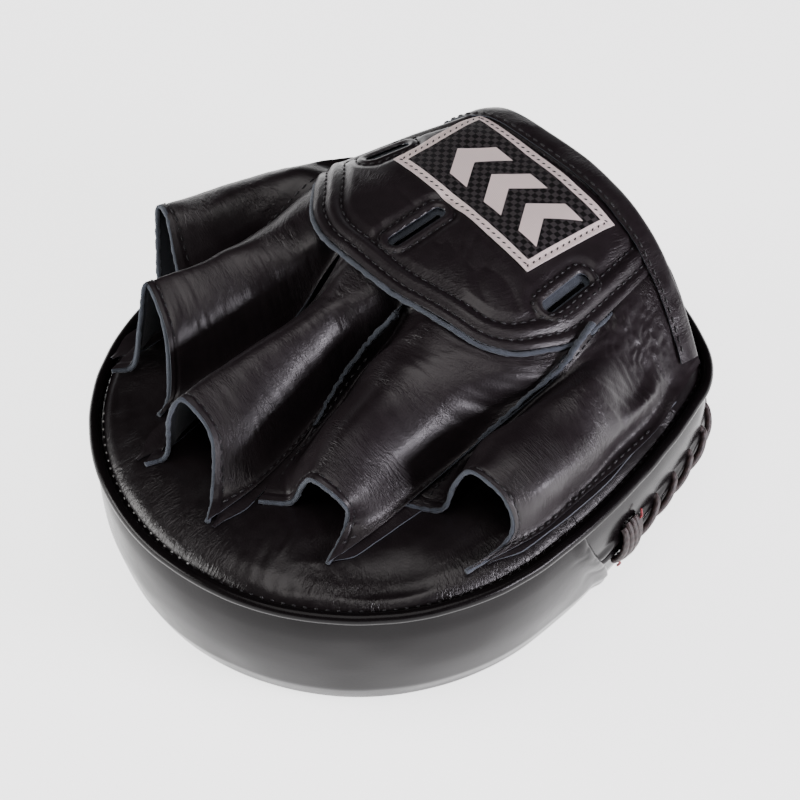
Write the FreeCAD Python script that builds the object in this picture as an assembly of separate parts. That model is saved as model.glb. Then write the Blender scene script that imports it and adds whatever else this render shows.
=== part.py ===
"""Leather focus mitt for the right hand, lying on its striking face.

Millimetres, +Z up. +Y points from the wrist to the fingertips and +X to the little finger.
The origin is on the floor under the middle of the front half-circle of the pad.
A flat padded body (face, side wall, three foam layers, padded back, welt) carries a fingerless glove:
five open sleeves sewn to the back along welts, and an arched hand cover with its cuff.
"""

import FreeCAD
import Part
import math
import os

Vector = FreeCAD.Vector

# ---- pad outline: tangent arcs, symmetric about X = 0
FRONT_RADIUS = 98.0  # half-circle at the finger end, and half the width
SIDE_RADIUS = 300.0  # long arc down each side
CORNER_RADIUS = 34.0  # corner between side and heel
HEEL_RADIUS = 140.0  # arc across the heel
HEEL_REACH = 132.0  # from the front centre to the heel

# ---- pad layers, in Z
LEATHER = 1.5
FACE_FOAM = 17.0  # soft foam behind the striking face
CORE_FOAM = 22.0  # firm foam in the middle
BACK_FOAM = 14.0  # firm foam under the welt
BACK_PADDING = 7.0  # soft foam under the back leather
BACK_ROUNDING = ((0.4, 0.55), (2.6, 0.85), (7.4, 1.0))  # inset from the welt and share of the rise
FOAM_GAP = 0.2  # between foam and leather, so that nothing bites

# ---- side wall: how far it lies inside the outline, by share of its height
FACE_INSET = 12.0  # at the edge of the striking face
WALL_INSETS = ((12.0, 0.0), (8.5, 0.065), (5.0, 0.22), (2.0, 0.51), (1.0, 0.8), (2.4, 1.0))
WALL_SEAM_Y = -20.0  # upright seam between the long band and the heel band
LACE_SHARE = 0.51  # height of the laced seam in the heel band

# ---- welt round the back edge
WELT_RADIUS = 2.3
WELT_CORD_RADIUS = 1.2
WELT_INSET = 1.0  # of its centre line
WELT_GAP = 0.3

# ---- heel lace
LACE_RADIUS = 1.3
LACE_PITCH = 13.0
LACE_RISE = 5.0  # from the seam to each row of holes
LACE_DEPTH = 3.2  # how far the hidden runs lie inside the leather's face
LACE_STAND_OFF = 1.6  # of the visible runs' middle from the face
LACE_BEND = 2.0
LACE_START_Y = -52.0
LACE_BAR_HEIGHT = 25.0
LACE_BAR_WIDTH = 8.0
LACE_BAR_Y = -38.0
LACE_BAR_FLATNESS = 0.6  # its thickness as a share of its width
LACE_BAR_SINK = 0.3  # how much of its width lies inside the outline
LACE_BAR_LEVELS = (0.3, 0.7)  # shares of the wall between which it leans as the wall does

# ---- glove
SEAM_STRIP = 1.4  # thickness of the strips that the sleeves are sewn to
STRIP_WIDTH = 8.0
SLEEVE_LEATHER = 1.4
COVER_GAP = 0.5  # between hand cover and everything that stays on the pad
PANEL_FOAM = 3.0
LINING = 1.0
LABEL_THICK = 0.6
BINDING_THICK = 1.1
BINDING_WIDTH = 8.0

# ---- hand cover sections: Y, X of the crown, reach left and right, height, roundness left and right
COVER_SECTIONS = (
    (-16.0, 17.0, 103.0, 75.0, 38.0, 2.8, 5.0),
    (-60.0, 17.0, 102.0, 73.0, 40.5, 2.6, 4.5),
    (-100.0, 17.0, 90.0, 57.0, 39.5, 2.6, 5.0),
    (-140.0, 17.0, 82.0, 45.0, 36.0, 2.5, 5.0),
)
SECTION_STEPS = 8  # points on each half of a section
CUFF_FOOT_Y = -103.0  # where the cuff edge meets the pad
CUFF_LEAN = 0.5  # how far the cuff edge leans back for each millimetre of height

# plan of the stitched hand panel, clockwise from the thumb side of the cuff, with corner radii
PANEL_PLAN = (
    (-41.0, -140.0, 0.0),
    (-52.0, -60.0, 30.0),
    (-40.0, -30.0, 26.0),
    (5.0, -22.0, 60.0),
    (50.0, -24.0, 34.0),
    (86.0, -62.0, 14.0),
    (46.0, -140.0, 0.0),
)
SIDE_WALL_FRONT_LEFT = -48.0
SIDE_WALL_FRONT_RIGHT = -62.0
SIDE_WALL_INNER_LEFT = -30.0  # each side wall lies beyond this, towards its own side
SIDE_WALL_INNER_RIGHT = 40.0
PANEL_SEAM = 2.2  # of the panel from its edge to its foam and lining
SLEEVE_SQUARENESS = 0.8  # 1 is an ellipse; less is squarer
LONGEST_ROUNDING = 0.45  # of a side that one corner may use

# label and the three vents: centre X, centre Y, length along Y, turn in degrees
LABEL = (13.0, -87.0, 74.0, 43.0, -4.0)
VENTS = ((21.0, -49.0, 26.0, -4.0), (-36.0, -70.0, 24.0, 4.0), (58.0, -76.0, 22.0, -14.0))
VENT_WIDTH = 6.0
LINING_SLIT = 2.4

# sleeves: name, start, end, half-width and height at start and end
SLEEVES = (
    ("thumb_sleeve", (-63.0, -47.5), (-67.5, 21.0), 15.5, 25.0, 15.0, 22.0),
    ("index_sleeve", (-20.0, -14.0), (-27.0, 54.0), 20.5, 29.0, 17.5, 22.0),
    ("middle_sleeve", (21.0, -12.0), (16.0, 67.0), 17.0, 31.0, 17.5, 24.0),
    ("ring_sleeve", (53.5, -20.0), (62.0, 46.0), 13.0, 30.0, 14.5, 27.0),
    ("little_sleeve", (81.0, -48.0), (103.0, -2.0), 12.0, 28.0, 13.5, 25.0),
)
# seam strips between the sleeves: name, start, end
STRIPS = (
    ("strip_thumb_outer", (-81.5, -46.0), (-85.0, 24.0)),
    ("strip_index_thumb", (-44.5, -18.0), (-47.5, 58.0)),
    ("strip_middle_index", (2.5, -17.0), (-5.5, 78.0)),
    ("strip_ring_middle", (39.5, -17.0), (40.0, 74.0)),
    ("strip_little_ring", (67.5, -28.0), (80.0, 40.0)),
)
PALM_PLAN = ((-66.0, -104.0), (-68.0, -50.0), (-36.0, -20.0), (60.0, -30.0), (70.0, -60.0), (66.0, -104.0))

# ---- heights worked out from the layers
SIDE_TOP = LEATHER + FACE_FOAM + CORE_FOAM + BACK_FOAM
WELT_Z = SIDE_TOP + WELT_RADIUS + WELT_GAP
BACK_TOP = SIDE_TOP + BACK_PADDING + LEATHER
GLOVE_Z = BACK_TOP + SEAM_STRIP
COVER_Z = GLOVE_Z + WELT_GAP
BACK_INSET = WELT_INSET + WELT_RADIUS + WELT_GAP
BACK_PROFILE = (
    (BACK_INSET, SIDE_TOP + LEATHER),
) + tuple(
    (BACK_INSET + inset, SIDE_TOP + share * (BACK_PADDING + LEATHER))
    for inset, share in BACK_ROUNDING
)
EPS = 0.01
FAR = 400.0


def circle_meeting(center_a, radius_a, center_b, radius_b):
    """The lower meeting point of two circles, on the +X side of the line between their centres."""
    dx, dy = center_b[0] - center_a[0], center_b[1] - center_a[1]
    apart = math.hypot(dx, dy)
    along = (radius_a**2 - radius_b**2 + apart**2) / (2 * apart)
    across = math.sqrt(radius_a**2 - along**2)
    mx, my = center_a[0] + along * dx / apart, center_a[1] + along * dy / apart
    points = [
        (mx + across * dy / apart, my - across * dx / apart),
        (mx - across * dy / apart, my + across * dx / apart),
    ]
    return min(points, key=lambda p: p[1])


SIDE_CENTER = (FRONT_RADIUS - SIDE_RADIUS, 0.0)
HEEL_CENTER = (0.0, HEEL_RADIUS - HEEL_REACH)
CORNER_CENTER = circle_meeting(
    SIDE_CENTER, SIDE_RADIUS - CORNER_RADIUS, HEEL_CENTER, HEEL_RADIUS - CORNER_RADIUS
)
SIDE_END_ANGLE = math.atan2(CORNER_CENTER[1] - SIDE_CENTER[1], CORNER_CENTER[0] - SIDE_CENTER[0])
HEEL_START_ANGLE = math.atan2(CORNER_CENTER[1] - HEEL_CENTER[1], CORNER_CENTER[0] - HEEL_CENTER[0])


def on_circle(center, radius, angle, z):
    return Vector(center[0] + radius * math.cos(angle), center[1] + radius * math.sin(angle), z)


def arc(center, radius, start, end, z):
    points = [on_circle(center, radius, a, z) for a in (start, (start + end) / 2, end)]
    return Part.Arc(*points).toShape()


def outline(inset, z):
    """The pad's outline, moved inwards by inset, as a closed wire at height z."""
    heel = -math.pi / 2
    right = [
        arc((0, 0), FRONT_RADIUS - inset, math.pi / 2, 0.0, z),
        arc(SIDE_CENTER, SIDE_RADIUS - inset, 0.0, SIDE_END_ANGLE, z),
        arc(CORNER_CENTER, CORNER_RADIUS - inset, SIDE_END_ANGLE, HEEL_START_ANGLE, z),
        arc(HEEL_CENTER, HEEL_RADIUS - inset, HEEL_START_ANGLE, heel, z),
    ]
    left = [e.mirror(Vector(0, 0, 0), Vector(1, 0, 0)) for e in reversed(right)]
    return Part.Wire(Part.__sortEdges__(right + left))


def loft(wires, ruled=True):
    return Part.makeLoft(wires, True, ruled)


def profiled(profile):
    """A solid whose outline steps inwards and upwards through (inset, z) pairs."""
    return loft([outline(inset, z) for inset, z in profile])


def slab(inset, low, high):
    return Part.Face(outline(inset, low)).extrude(Vector(0, 0, high - low))


def box(x0, x1, y0, y1, z0, z1):
    return Part.makeBox(x1 - x0, y1 - y0, z1 - z0, Vector(x0, y0, z0))


def wall_inset(share):
    """How far the side wall's face lies inside the outline at a share of its height."""
    for (inset_a, at_a), (inset_b, at_b) in zip(WALL_INSETS, WALL_INSETS[1:]):
        if share <= at_b:
            return inset_a + (inset_b - inset_a) * (share - at_a) / (at_b - at_a)
    return WALL_INSETS[-1][0]


def wall_core(gap, low, high):
    """What fits inside the side wall between two heights, with a gap all round."""
    levels = [low] + [s * SIDE_TOP for _, s in WALL_INSETS if low < s * SIDE_TOP < high] + [high]
    return profiled([(wall_inset(z / SIDE_TOP) + LEATHER + gap, z) for z in levels])


def side_wall():
    face = [(inset, share * SIDE_TOP) for inset, share in WALL_INSETS]
    plate = slab(FACE_INSET, -EPS, LEATHER)
    return profiled(face).cut(wall_core(0.0, LEATHER, SIDE_TOP + EPS)).cut(plate)


def make_pad():
    parts = {}
    parts["strike_face"] = slab(FACE_INSET + FOAM_GAP, 0.0, LEATHER)
    wall = side_wall()
    heel = box(-FAR, FAR, -FAR, WALL_SEAM_Y, -EPS, FAR)
    lace_z = LACE_SHARE * SIDE_TOP
    parts["gusset_band"] = wall.cut(heel)
    parts["heel_band_lower"] = wall.common(box(-FAR, FAR, -FAR, WALL_SEAM_Y, -EPS, lace_z))
    parts["heel_band_upper"] = wall.common(box(-FAR, FAR, -FAR, WALL_SEAM_Y, lace_z, FAR))
    levels = [LEATHER]
    for thick in (FACE_FOAM, CORE_FOAM, BACK_FOAM):
        levels.append(levels[-1] + thick)
    names = ("face_foam", "core_foam", "back_foam")
    for name, low, high in zip(names, levels, levels[1:]):
        parts[name] = wall_core(FOAM_GAP, low + FOAM_GAP, high)
    inner = [(inset + LEATHER, z - LEATHER) for inset, z in BACK_PROFILE]
    foam = [(inset + FOAM_GAP, z - FOAM_GAP) for inset, z in inner]
    foam[0] = (foam[0][0], SIDE_TOP)
    parts["back_padding"] = profiled(foam)
    parts["back_panel"] = profiled(BACK_PROFILE).cut(profiled(inner))
    return parts


def tube(path, radius):
    """A round tube along a wire of lines and tangent arcs."""
    first = path.OrderedEdges[0]
    start = first.valueAt(first.FirstParameter)
    along = first.tangentAt(first.FirstParameter)
    profile = Part.Wire(Part.Circle(start, along, radius).toShape())
    return path.makePipeShell([profile], True, True)


def make_welt():
    path = outline(WELT_INSET, WELT_Z)
    cord = tube(path, WELT_CORD_RADIUS)
    return {"welt_cord": cord, "welt_cover": tube(path, WELT_RADIUS).cut(cord)}


def heel_stations():
    """Points along the heel from the thumb side to the other side, as (x, y, outward x, outward y)."""
    inset = wall_inset(LACE_SHARE)
    wire = outline(inset, 0.0)
    points = wire.discretize(Distance=LACE_PITCH / 16)
    behind = [p for p in points if p.y < LACE_START_Y]
    behind.sort(key=lambda p: math.atan2(p.x, -p.y + LACE_START_Y / 2))
    stations = [behind[0]]
    for p in behind:
        if (p - stations[-1]).Length >= LACE_PITCH:
            stations.append(p)
    found = []
    for p in stations:
        near = min(range(len(points)), key=lambda i: (points[i] - p).Length)
        along = points[(near + 1) % len(points)] - points[near - 1]
        out = Vector(along.y, -along.x, 0).normalize()
        if out.dot(p - Vector(0, LACE_START_Y, 0)) < 0:
            out = out * -1
        found.append((p, out))
    return found


def rounded_path(points, bend):
    """Straight runs joined by tangent arcs, as one wire."""
    edges, last = [], points[0]
    for before, corner, after in zip(points, points[1:], points[2:]):
        a, b = (before - corner), (after - corner)
        half_turn = (math.pi - a.getAngle(b)) / 2
        reach = min(bend * math.tan(half_turn), LONGEST_ROUNDING * min(a.Length, b.Length))
        a, b = a.normalize(), b.normalize()
        start, end = corner + a * reach, corner + b * reach
        radius = reach / math.tan(half_turn)
        bisector = (a + b).normalize()
        middle = corner + bisector * (radius / math.cos(half_turn) - radius)
        edges += [Part.LineSegment(last, start).toShape(), Part.Arc(start, middle, end).toShape()]
        last = end
    edges.append(Part.LineSegment(last, points[-1]).toShape())
    return Part.Wire(edges)


def make_lace():
    """One lace: it slants across the seam outside and rises straight up inside at every hole."""
    lace_z = LACE_SHARE * SIDE_TOP
    up = Vector(0, 0, 1)
    points = []
    for p, out in heel_stations():
        low, high = p + up * (lace_z - LACE_RISE), p + up * (lace_z + LACE_RISE)
        points += [low + out * LACE_STAND_OFF, low - out * LACE_DEPTH]
        points += [high - out * LACE_DEPTH, high + out * LACE_STAND_OFF]
    path = rounded_path(points[1:-1], LACE_BEND)
    lace = tube(path, LACE_RADIUS)
    bar_x = -(SIDE_CENTER[0] + math.sqrt((SIDE_RADIUS - wall_inset(LACE_SHARE)) ** 2 - LACE_BAR_Y**2))
    bar = Part.makeCylinder(LACE_BAR_WIDTH / 2, LACE_BAR_HEIGHT, Vector(0, 0, -LACE_BAR_HEIGHT / 2))
    flat = FreeCAD.Matrix()
    flat.scale(LACE_BAR_FLATNESS, 1.0, 1.0)
    bar = bar.transformGeometry(flat)
    low, high = LACE_BAR_LEVELS
    lean = math.degrees(math.atan2(wall_inset(low) - wall_inset(high), (high - low) * SIDE_TOP))
    bar.rotate(Vector(0, 0, 0), Vector(0, 1, 0), -lean)
    bar.translate(Vector(bar_x - LACE_BAR_SINK * LACE_BAR_WIDTH - WELT_GAP, LACE_BAR_Y, lace_z))
    return {"heel_lace": lace, "lace_bar": bar}


def arch_wire(section, offset, y):
    """Closed section of the hand cover, moved inwards by offset: a crown curve and a flat foot line."""
    _, crown, left, right, height, round_left, round_right = section
    points = []
    for side, reach, power in ((-1, left, round_left), (1, right, round_right)):
        steps = range(SECTION_STEPS, 0, -1) if side < 0 else range(0, SECTION_STEPS + 1)
        for i in steps:
            share = math.sin(math.pi / 2 * i / SECTION_STEPS)
            x = crown + side * (reach - offset) * share
            points.append(Vector(x, y, COVER_Z + (height - offset) * (1 - share**power)))
    curve = Part.BSplineCurve()
    curve.interpolate(points)
    return Part.Wire([curve.toShape(), Part.LineSegment(points[-1], points[0]).toShape()])


def cover_block(offset):
    """The whole space under the hand cover's face, moved inwards by offset."""
    stretch = max(offset, 0.0)
    first, last = COVER_SECTIONS[0][0], COVER_SECTIONS[-1][0]
    wires = []
    for section in COVER_SECTIONS:
        y = section[0] + (stretch if section[0] == first else -stretch if section[0] == last else 0)
        wires.append(arch_wire(section, offset, y))
    return loft(wires, False)


def cover_layer(outer, inner):
    """The layer of the hand cover between two depths, with nothing behind the cuff edge."""
    return cover_block(outer).cut(cover_block(inner)).cut(behind_cuff(0.0))


def behind_cuff(forward):
    """Everything behind the leaning cuff edge, moved forward by forward."""
    half = FAR / 2
    block = Part.makeBox(FAR, FAR, 3 * half, Vector(-half, -FAR, -half))
    block.rotate(Vector(0, 0, 0), Vector(1, 0, 0), math.degrees(math.atan(CUFF_LEAN)))
    block.translate(Vector(0, CUFF_FOOT_Y + forward, COVER_Z))
    return block


def prism(wire):
    return Part.Face(wire).extrude(Vector(0, 0, FAR))


def rounded_plan(corners, grow):
    """A closed plan with rounded corners, grown outwards by grow."""
    edges, count = [], len(corners)
    ends = []
    for i, (x, y, radius) in enumerate(corners):
        here = Vector(x, y, 0)
        before = Vector(*corners[i - 1][:2], 0)
        after = Vector(*corners[(i + 1) % count][:2], 0)
        if radius == 0:
            ends.append((here, None, here))
            continue
        a, b = before - here, after - here
        half_turn = (math.pi - a.getAngle(b)) / 2
        reach = min(radius * math.tan(half_turn), LONGEST_ROUNDING * min(a.Length, b.Length))
        a, b = a.normalize(), b.normalize()
        real = reach / math.tan(half_turn)
        middle = here + (a + b).normalize() * (real / math.cos(half_turn) - real)
        ends.append((here + a * reach, middle, here + b * reach))
    for i, (start, middle, end) in enumerate(ends):
        if middle is not None:
            edges.append(Part.Arc(start, middle, end).toShape())
        edges.append(Part.LineSegment(end, ends[(i + 1) % count][0]).toShape())
    wire = Part.Wire(edges)
    return wire.makeOffset2D(grow) if grow else wire


def panel_prism(grow):
    return prism(rounded_plan(PANEL_PLAN, grow))


def turned_slot(center_x, center_y, length, width, turn):
    """An upright slot with round ends, its length along Y before it is turned."""
    straight = (length - width) / 2
    shape = box(-width / 2, width / 2, -straight, straight, 0, FAR)
    for end in (-straight, straight):
        shape = shape.fuse(Part.makeCylinder(width / 2, FAR, Vector(0, end, 0)))
    shape = shape.removeSplitter()
    shape.rotate(Vector(0, 0, 0), Vector(0, 0, 1), turn)
    shape.translate(Vector(center_x, center_y, 0))
    return shape


def all_vents(width):
    cutters = [
        turned_slot(x, y, length - VENT_WIDTH + width, width, turn) for x, y, length, turn in VENTS
    ]
    return Part.makeCompound(cutters)


def make_cover():
    parts = {}
    leather = cover_layer(0.0, LEATHER)
    panel_area = panel_prism(0.0)
    parts["hand_panel"] = leather.common(panel_area).cut(all_vents(VENT_WIDTH))
    inner_area = panel_prism(-PANEL_SEAM)
    inner_end = behind_cuff(BINDING_WIDTH + WELT_GAP)
    foam = cover_layer(LEATHER, LEATHER + PANEL_FOAM).common(inner_area).cut(inner_end)
    parts["panel_foam"] = foam.cut(all_vents(VENT_WIDTH))
    depth = LEATHER + PANEL_FOAM
    lining = cover_layer(depth, depth + LINING).common(inner_area).cut(inner_end)
    parts["panel_lining"] = lining.cut(all_vents(LINING_SLIT))
    walls = leather.cut(panel_area)
    parts["thumb_side_wall"] = walls.common(
        box(-FAR, SIDE_WALL_INNER_LEFT, -FAR, SIDE_WALL_FRONT_LEFT, 0, FAR)
    )
    parts["little_side_wall"] = walls.common(
        box(SIDE_WALL_INNER_RIGHT, FAR, -FAR, SIDE_WALL_FRONT_RIGHT, 0, FAR)
    )
    x, y, width, length, turn = LABEL
    area = box(-width / 2, width / 2, -length / 2, length / 2, 0, FAR)
    area.rotate(Vector(0, 0, 0), Vector(0, 0, 1), turn)
    area.translate(Vector(x, y, 0))
    parts["woven_label"] = cover_layer(-LABEL_THICK, 0.0).common(area)
    parts["cuff_binding"] = make_binding(leather)
    return parts


def make_binding(leather):
    """A folded strip over the cuff edge: outside, inside and round the edge."""
    thick = cover_block(-BINDING_THICK).cut(cover_block(LEATHER + BINDING_THICK))
    strip = thick.common(behind_cuff(BINDING_WIDTH)).cut(behind_cuff(-BINDING_THICK))
    return strip.cut(leather)


def sleeve_wire(center, along, half_width, height, base):
    """A half-ellipse standing on a foot line, square to the sleeve."""
    across = Vector(-along.y, along.x, 0)
    up = Vector(0, 0, 1)
    points = []
    for i in range(2 * SECTION_STEPS + 1):
        angle = math.pi * i / (2 * SECTION_STEPS)
        side, rise = half_width * math.cos(angle), height * math.sin(angle) ** SLEEVE_SQUARENESS
        points.append(center + across * side + up * (base + rise))
    curve = Part.BSplineCurve()
    curve.interpolate(points)
    return Part.Wire([curve.toShape(), Part.LineSegment(points[-1], points[0]).toShape()])


def make_sleeve(start, end, half_a, height_a, half_b, height_b):
    """An open arch of leather from the knuckles to the fingertip, trimmed along the knuckle seam."""
    a, b = Vector(*start, 0), Vector(*end, 0)
    along = (b - a).normalize()
    back = a - along * STRIP_WIDTH
    outer = loft([
        sleeve_wire(back, along, half_a, height_a, GLOVE_Z),
        sleeve_wire(b, along, half_b, height_b, GLOVE_Z),
    ])
    inner = loft([
        sleeve_wire(
            back - along, along, half_a - SLEEVE_LEATHER, height_a - SLEEVE_LEATHER, GLOVE_Z - EPS
        ),
        sleeve_wire(
            b + along, along, half_b - SLEEVE_LEATHER, height_b - SLEEVE_LEATHER, GLOVE_Z - EPS
        ),
    ])
    return outer.cut(inner)


def cover_room():
    """The plan that the hand cover may fill, with a gap round it, up to any height."""
    left = box(-FAR, SIDE_WALL_INNER_LEFT, -FAR, SIDE_WALL_FRONT_LEFT + COVER_GAP, 0, FAR)
    right = box(SIDE_WALL_INNER_RIGHT, FAR, -FAR, SIDE_WALL_FRONT_RIGHT + COVER_GAP, 0, FAR)
    return panel_prism(COVER_GAP).fuse(left).fuse(right)


def make_sleeves():
    room = cover_room()
    return {name: make_sleeve(a, b, wa, ha, wb, hb).cut(room) for name, a, b, wa, ha, wb, hb in SLEEVES}


def make_strips():
    parts = {}
    for name, start, end in STRIPS:
        a, b = Vector(*start, BACK_TOP), Vector(*end, BACK_TOP)
        along = (b - a).normalize()
        across = Vector(-along.y, along.x, 0) * (STRIP_WIDTH / 2)
        corners = [a + across, b + across, b + along * STRIP_WIDTH, b - across, a - across]
        wire = Part.makePolygon(corners + corners[:1])
        parts[name] = Part.Face(wire).extrude(Vector(0, 0, SEAM_STRIP))
    return parts


def make_palm():
    corners = [Vector(x, y, BACK_TOP) for x, y in PALM_PLAN]
    palm = Part.Face(Part.makePolygon(corners + corners[:1])).extrude(Vector(0, 0, SEAM_STRIP))
    for strip in make_strips().values():
        palm = palm.cut(strip)
    return {"palm_piece": palm}


def main():
    os.makedirs("parts", exist_ok=True)
    parts = {}
    for group in (make_pad, make_welt, make_lace, make_palm, make_strips, make_sleeves, make_cover):
        parts.update(group())
    for name, shape in parts.items():
        size = shape.BoundBox
        print(
            f"{name:18s} solids {len(shape.Solids)} valid {shape.isValid()} {shape.Volume / 1000:8.2f} cm3"
            f"  x {size.XMin:7.1f} {size.XMax:7.1f}  y {size.YMin:7.1f} {size.YMax:7.1f}"
            f"  z {size.ZMin:6.1f} {size.ZMax:6.1f}"
        )
        shape.exportStep(f"parts/{name}.step")


main()
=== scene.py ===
# %% [markdown]
# # A leather focus mitt
# The mitt lies on its striking face. A flat padded body carries a fingerless glove: five open sleeves,
# an arched hand panel with its side walls, and a bound cuff.
# The imported CAD model is the frame, and gives every height; the pieces on the pad are parented to one empty, the
# pad's body.
# Work is done in millimetres, because leather work is, and MM turns them into Blender's metres.

import math

import bpy
import numpy as np
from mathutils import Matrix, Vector


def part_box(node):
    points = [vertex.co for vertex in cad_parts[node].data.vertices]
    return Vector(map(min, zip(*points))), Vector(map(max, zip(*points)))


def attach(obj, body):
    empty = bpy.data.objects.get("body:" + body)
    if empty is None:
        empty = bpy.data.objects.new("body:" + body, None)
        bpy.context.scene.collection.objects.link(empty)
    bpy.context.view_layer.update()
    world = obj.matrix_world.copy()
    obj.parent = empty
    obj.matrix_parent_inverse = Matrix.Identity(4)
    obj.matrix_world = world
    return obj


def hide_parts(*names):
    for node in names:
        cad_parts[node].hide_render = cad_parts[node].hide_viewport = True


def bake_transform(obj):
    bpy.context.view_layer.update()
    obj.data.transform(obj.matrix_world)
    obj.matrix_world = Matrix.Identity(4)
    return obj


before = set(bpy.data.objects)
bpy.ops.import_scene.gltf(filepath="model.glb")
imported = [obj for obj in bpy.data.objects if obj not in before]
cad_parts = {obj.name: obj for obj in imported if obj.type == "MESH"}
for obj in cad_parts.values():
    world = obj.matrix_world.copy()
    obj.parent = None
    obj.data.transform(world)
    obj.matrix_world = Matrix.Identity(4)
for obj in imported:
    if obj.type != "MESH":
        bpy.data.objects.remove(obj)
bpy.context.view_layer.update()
MM = 0.001


def top_of(node):
    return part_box(node)[1].z / MM


LEATHER = top_of("strike_face")
SIDE_TOP = top_of("gusset_band")
BACK_TOP = top_of("back_panel")
GLOVE_Z = top_of("palm_piece")
COVER_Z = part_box("thumb_side_wall")[0].z / MM
print("side wall up to", round(SIDE_TOP, 1), "mm, back up to", round(BACK_TOP, 1), "mm")

# %% [markdown]
# ## Camera, light and floor
# A long lens from above the fingertips shows the whole glove with little perspective.
# Black leather shows only by what it reflects, so the light comes from a few large soft panels
# on a dim room: each panel draws one broad highlight down a sleeve.

# %% Camera
CAMERA_AZIMUTH = 225.5
CAMERA_ELEVATION = 47.2
CAMERA_DISTANCE = 1.4
LENS = 170.1
AIM_HEIGHT = 0.040
AIM_RIGHT = 0.0148
AIM_UP = 0.0170
FAR_CLIP = 20


def camera_axes(azimuth, elevation):
    """The directions out of the view, to its right and up it."""
    a, e = math.radians(azimuth), math.radians(elevation)
    back = Vector((math.sin(a) * math.cos(e), -math.cos(a) * math.cos(e), math.sin(e)))
    right = Vector((math.cos(a), math.sin(a), 0))
    return back, right, back.cross(right)


view_back, view_right, view_up = camera_axes(CAMERA_AZIMUTH, CAMERA_ELEVATION)
aim = Vector((0, 0, AIM_HEIGHT)) + view_right * AIM_RIGHT + view_up * AIM_UP
bpy.ops.object.camera_add(location=aim + view_back * CAMERA_DISTANCE)
camera = bpy.context.object
camera.rotation_euler = (-view_back).to_track_quat("-Z", "Y").to_euler()
camera.data.lens = LENS
camera.data.clip_end = FAR_CLIP
bpy.context.scene.camera = camera


# %% Lights
LIT_POINT = Vector((0, -0.02, 0.05))


def soft_panel(name, azimuth, elevation, distance, width, height, power, colour):
    """An area light that faces the mitt from a compass direction."""
    back, _, _ = camera_axes(azimuth, elevation)
    bpy.ops.object.light_add(type="AREA", location=LIT_POINT + back * distance)
    lamp = bpy.context.object
    lamp.name = name
    lamp.rotation_euler = (-back).to_track_quat("-Z", "Y").to_euler()
    lamp.data.shape = "RECTANGLE"
    lamp.data.size, lamp.data.size_y = width, height
    lamp.data.energy = power
    lamp.data.color = colour


soft_panel("key_light", 289, 16, 1.3, 0.6, 0.34, 25, (0.96, 0.91, 1.0))
soft_panel("rim_light", 140, 17, 1.4, 1.0, 0.5, 22, (1.0, 0.98, 0.97))
soft_panel("top_light", 222, 78, 1.6, 1.2, 1.2, 14, (1.0, 0.96, 0.95))

# %% Bright walls and a dark ceiling
# Heights are from 0 at the horizon to 1 overhead.
WALL_TOP, CEILING_FOOT = 0.02, 0.26
WALL_GLOW, CEILING_GLOW = 1.0, 0.02
world = bpy.data.worlds.new("studio")
bpy.context.scene.world = world
world.use_nodes = True
tree = world.node_tree
direction = tree.nodes.new("ShaderNodeTexCoord").outputs["Generated"]
split = tree.nodes.new("ShaderNodeSeparateXYZ")
tree.links.new(direction, split.inputs[0])
wall = tree.nodes.new("ShaderNodeMapRange")
wall.interpolation_type = "SMOOTHSTEP"
for socket, value in (
    ("From Min", WALL_TOP), ("From Max", CEILING_FOOT), ("To Min", WALL_GLOW), ("To Max", CEILING_GLOW),
):
    wall.inputs[socket].default_value = value
tree.links.new(split.outputs["Z"], wall.inputs["Value"])
background = tree.nodes["Background"]
background.inputs["Color"].default_value = (0.95, 0.96, 1.0, 1)
tree.links.new(wall.outputs["Result"], background.inputs["Strength"])

# %% Floor
FLOOR_SIZE = 6
FLOOR_GREY = 0.93
FLOOR_GLOW = 2.3
bpy.ops.mesh.primitive_plane_add(size=FLOOR_SIZE)
floor = bpy.context.object
floor.name = "floor"
floor_paint = bpy.data.materials.new("floor_paint")
floor_paint.use_nodes = True
floor_shader = floor_paint.node_tree.nodes["Principled BSDF"]
for socket, value in (
    ("Base Color", (FLOOR_GREY, FLOOR_GREY, FLOOR_GREY, 1)), ("Roughness", 0.7),
    ("Emission Color", (1, 1, 1, 1)), ("Emission Strength", FLOOR_GLOW),
):
    floor_shader.inputs[socket].default_value = value
floor.data.materials.append(floor_paint)

# %% [markdown]
# ## A small workshop
# Leather pieces are sheets, so one helper does most of the work: it adds a grid, and moves each of its
# points to where a shape says, from two shares, one along the piece and one across it.
# The grid's UV map is kept in metres, so that creases in a material can follow the piece.


# %% Sheets of leather
def select_only(piece):
    bpy.ops.object.select_all(action="DESELECT")
    piece.select_set(True)
    bpy.context.view_layer.objects.active = piece


def in_edit_mode(piece, *steps):
    """Runs edit-mode operators on the whole mesh."""
    select_only(piece)
    bpy.ops.object.mode_set(mode="EDIT")
    bpy.ops.mesh.select_all(action="SELECT")
    for step in steps:
        step()
    bpy.ops.object.mode_set(mode="OBJECT")


def coordinates(piece):
    """The mesh's points in millimetres, one row each."""
    flat = np.empty(len(piece.data.vertices) * 3, np.float32)
    piece.data.vertices.foreach_get("co", flat)
    return flat.reshape(-1, 3).astype(float) / MM


def move_points(piece, points):
    piece.data.vertices.foreach_set("co", (np.asarray(points) * MM).astype(np.float32).ravel())
    piece.data.update()


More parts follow.
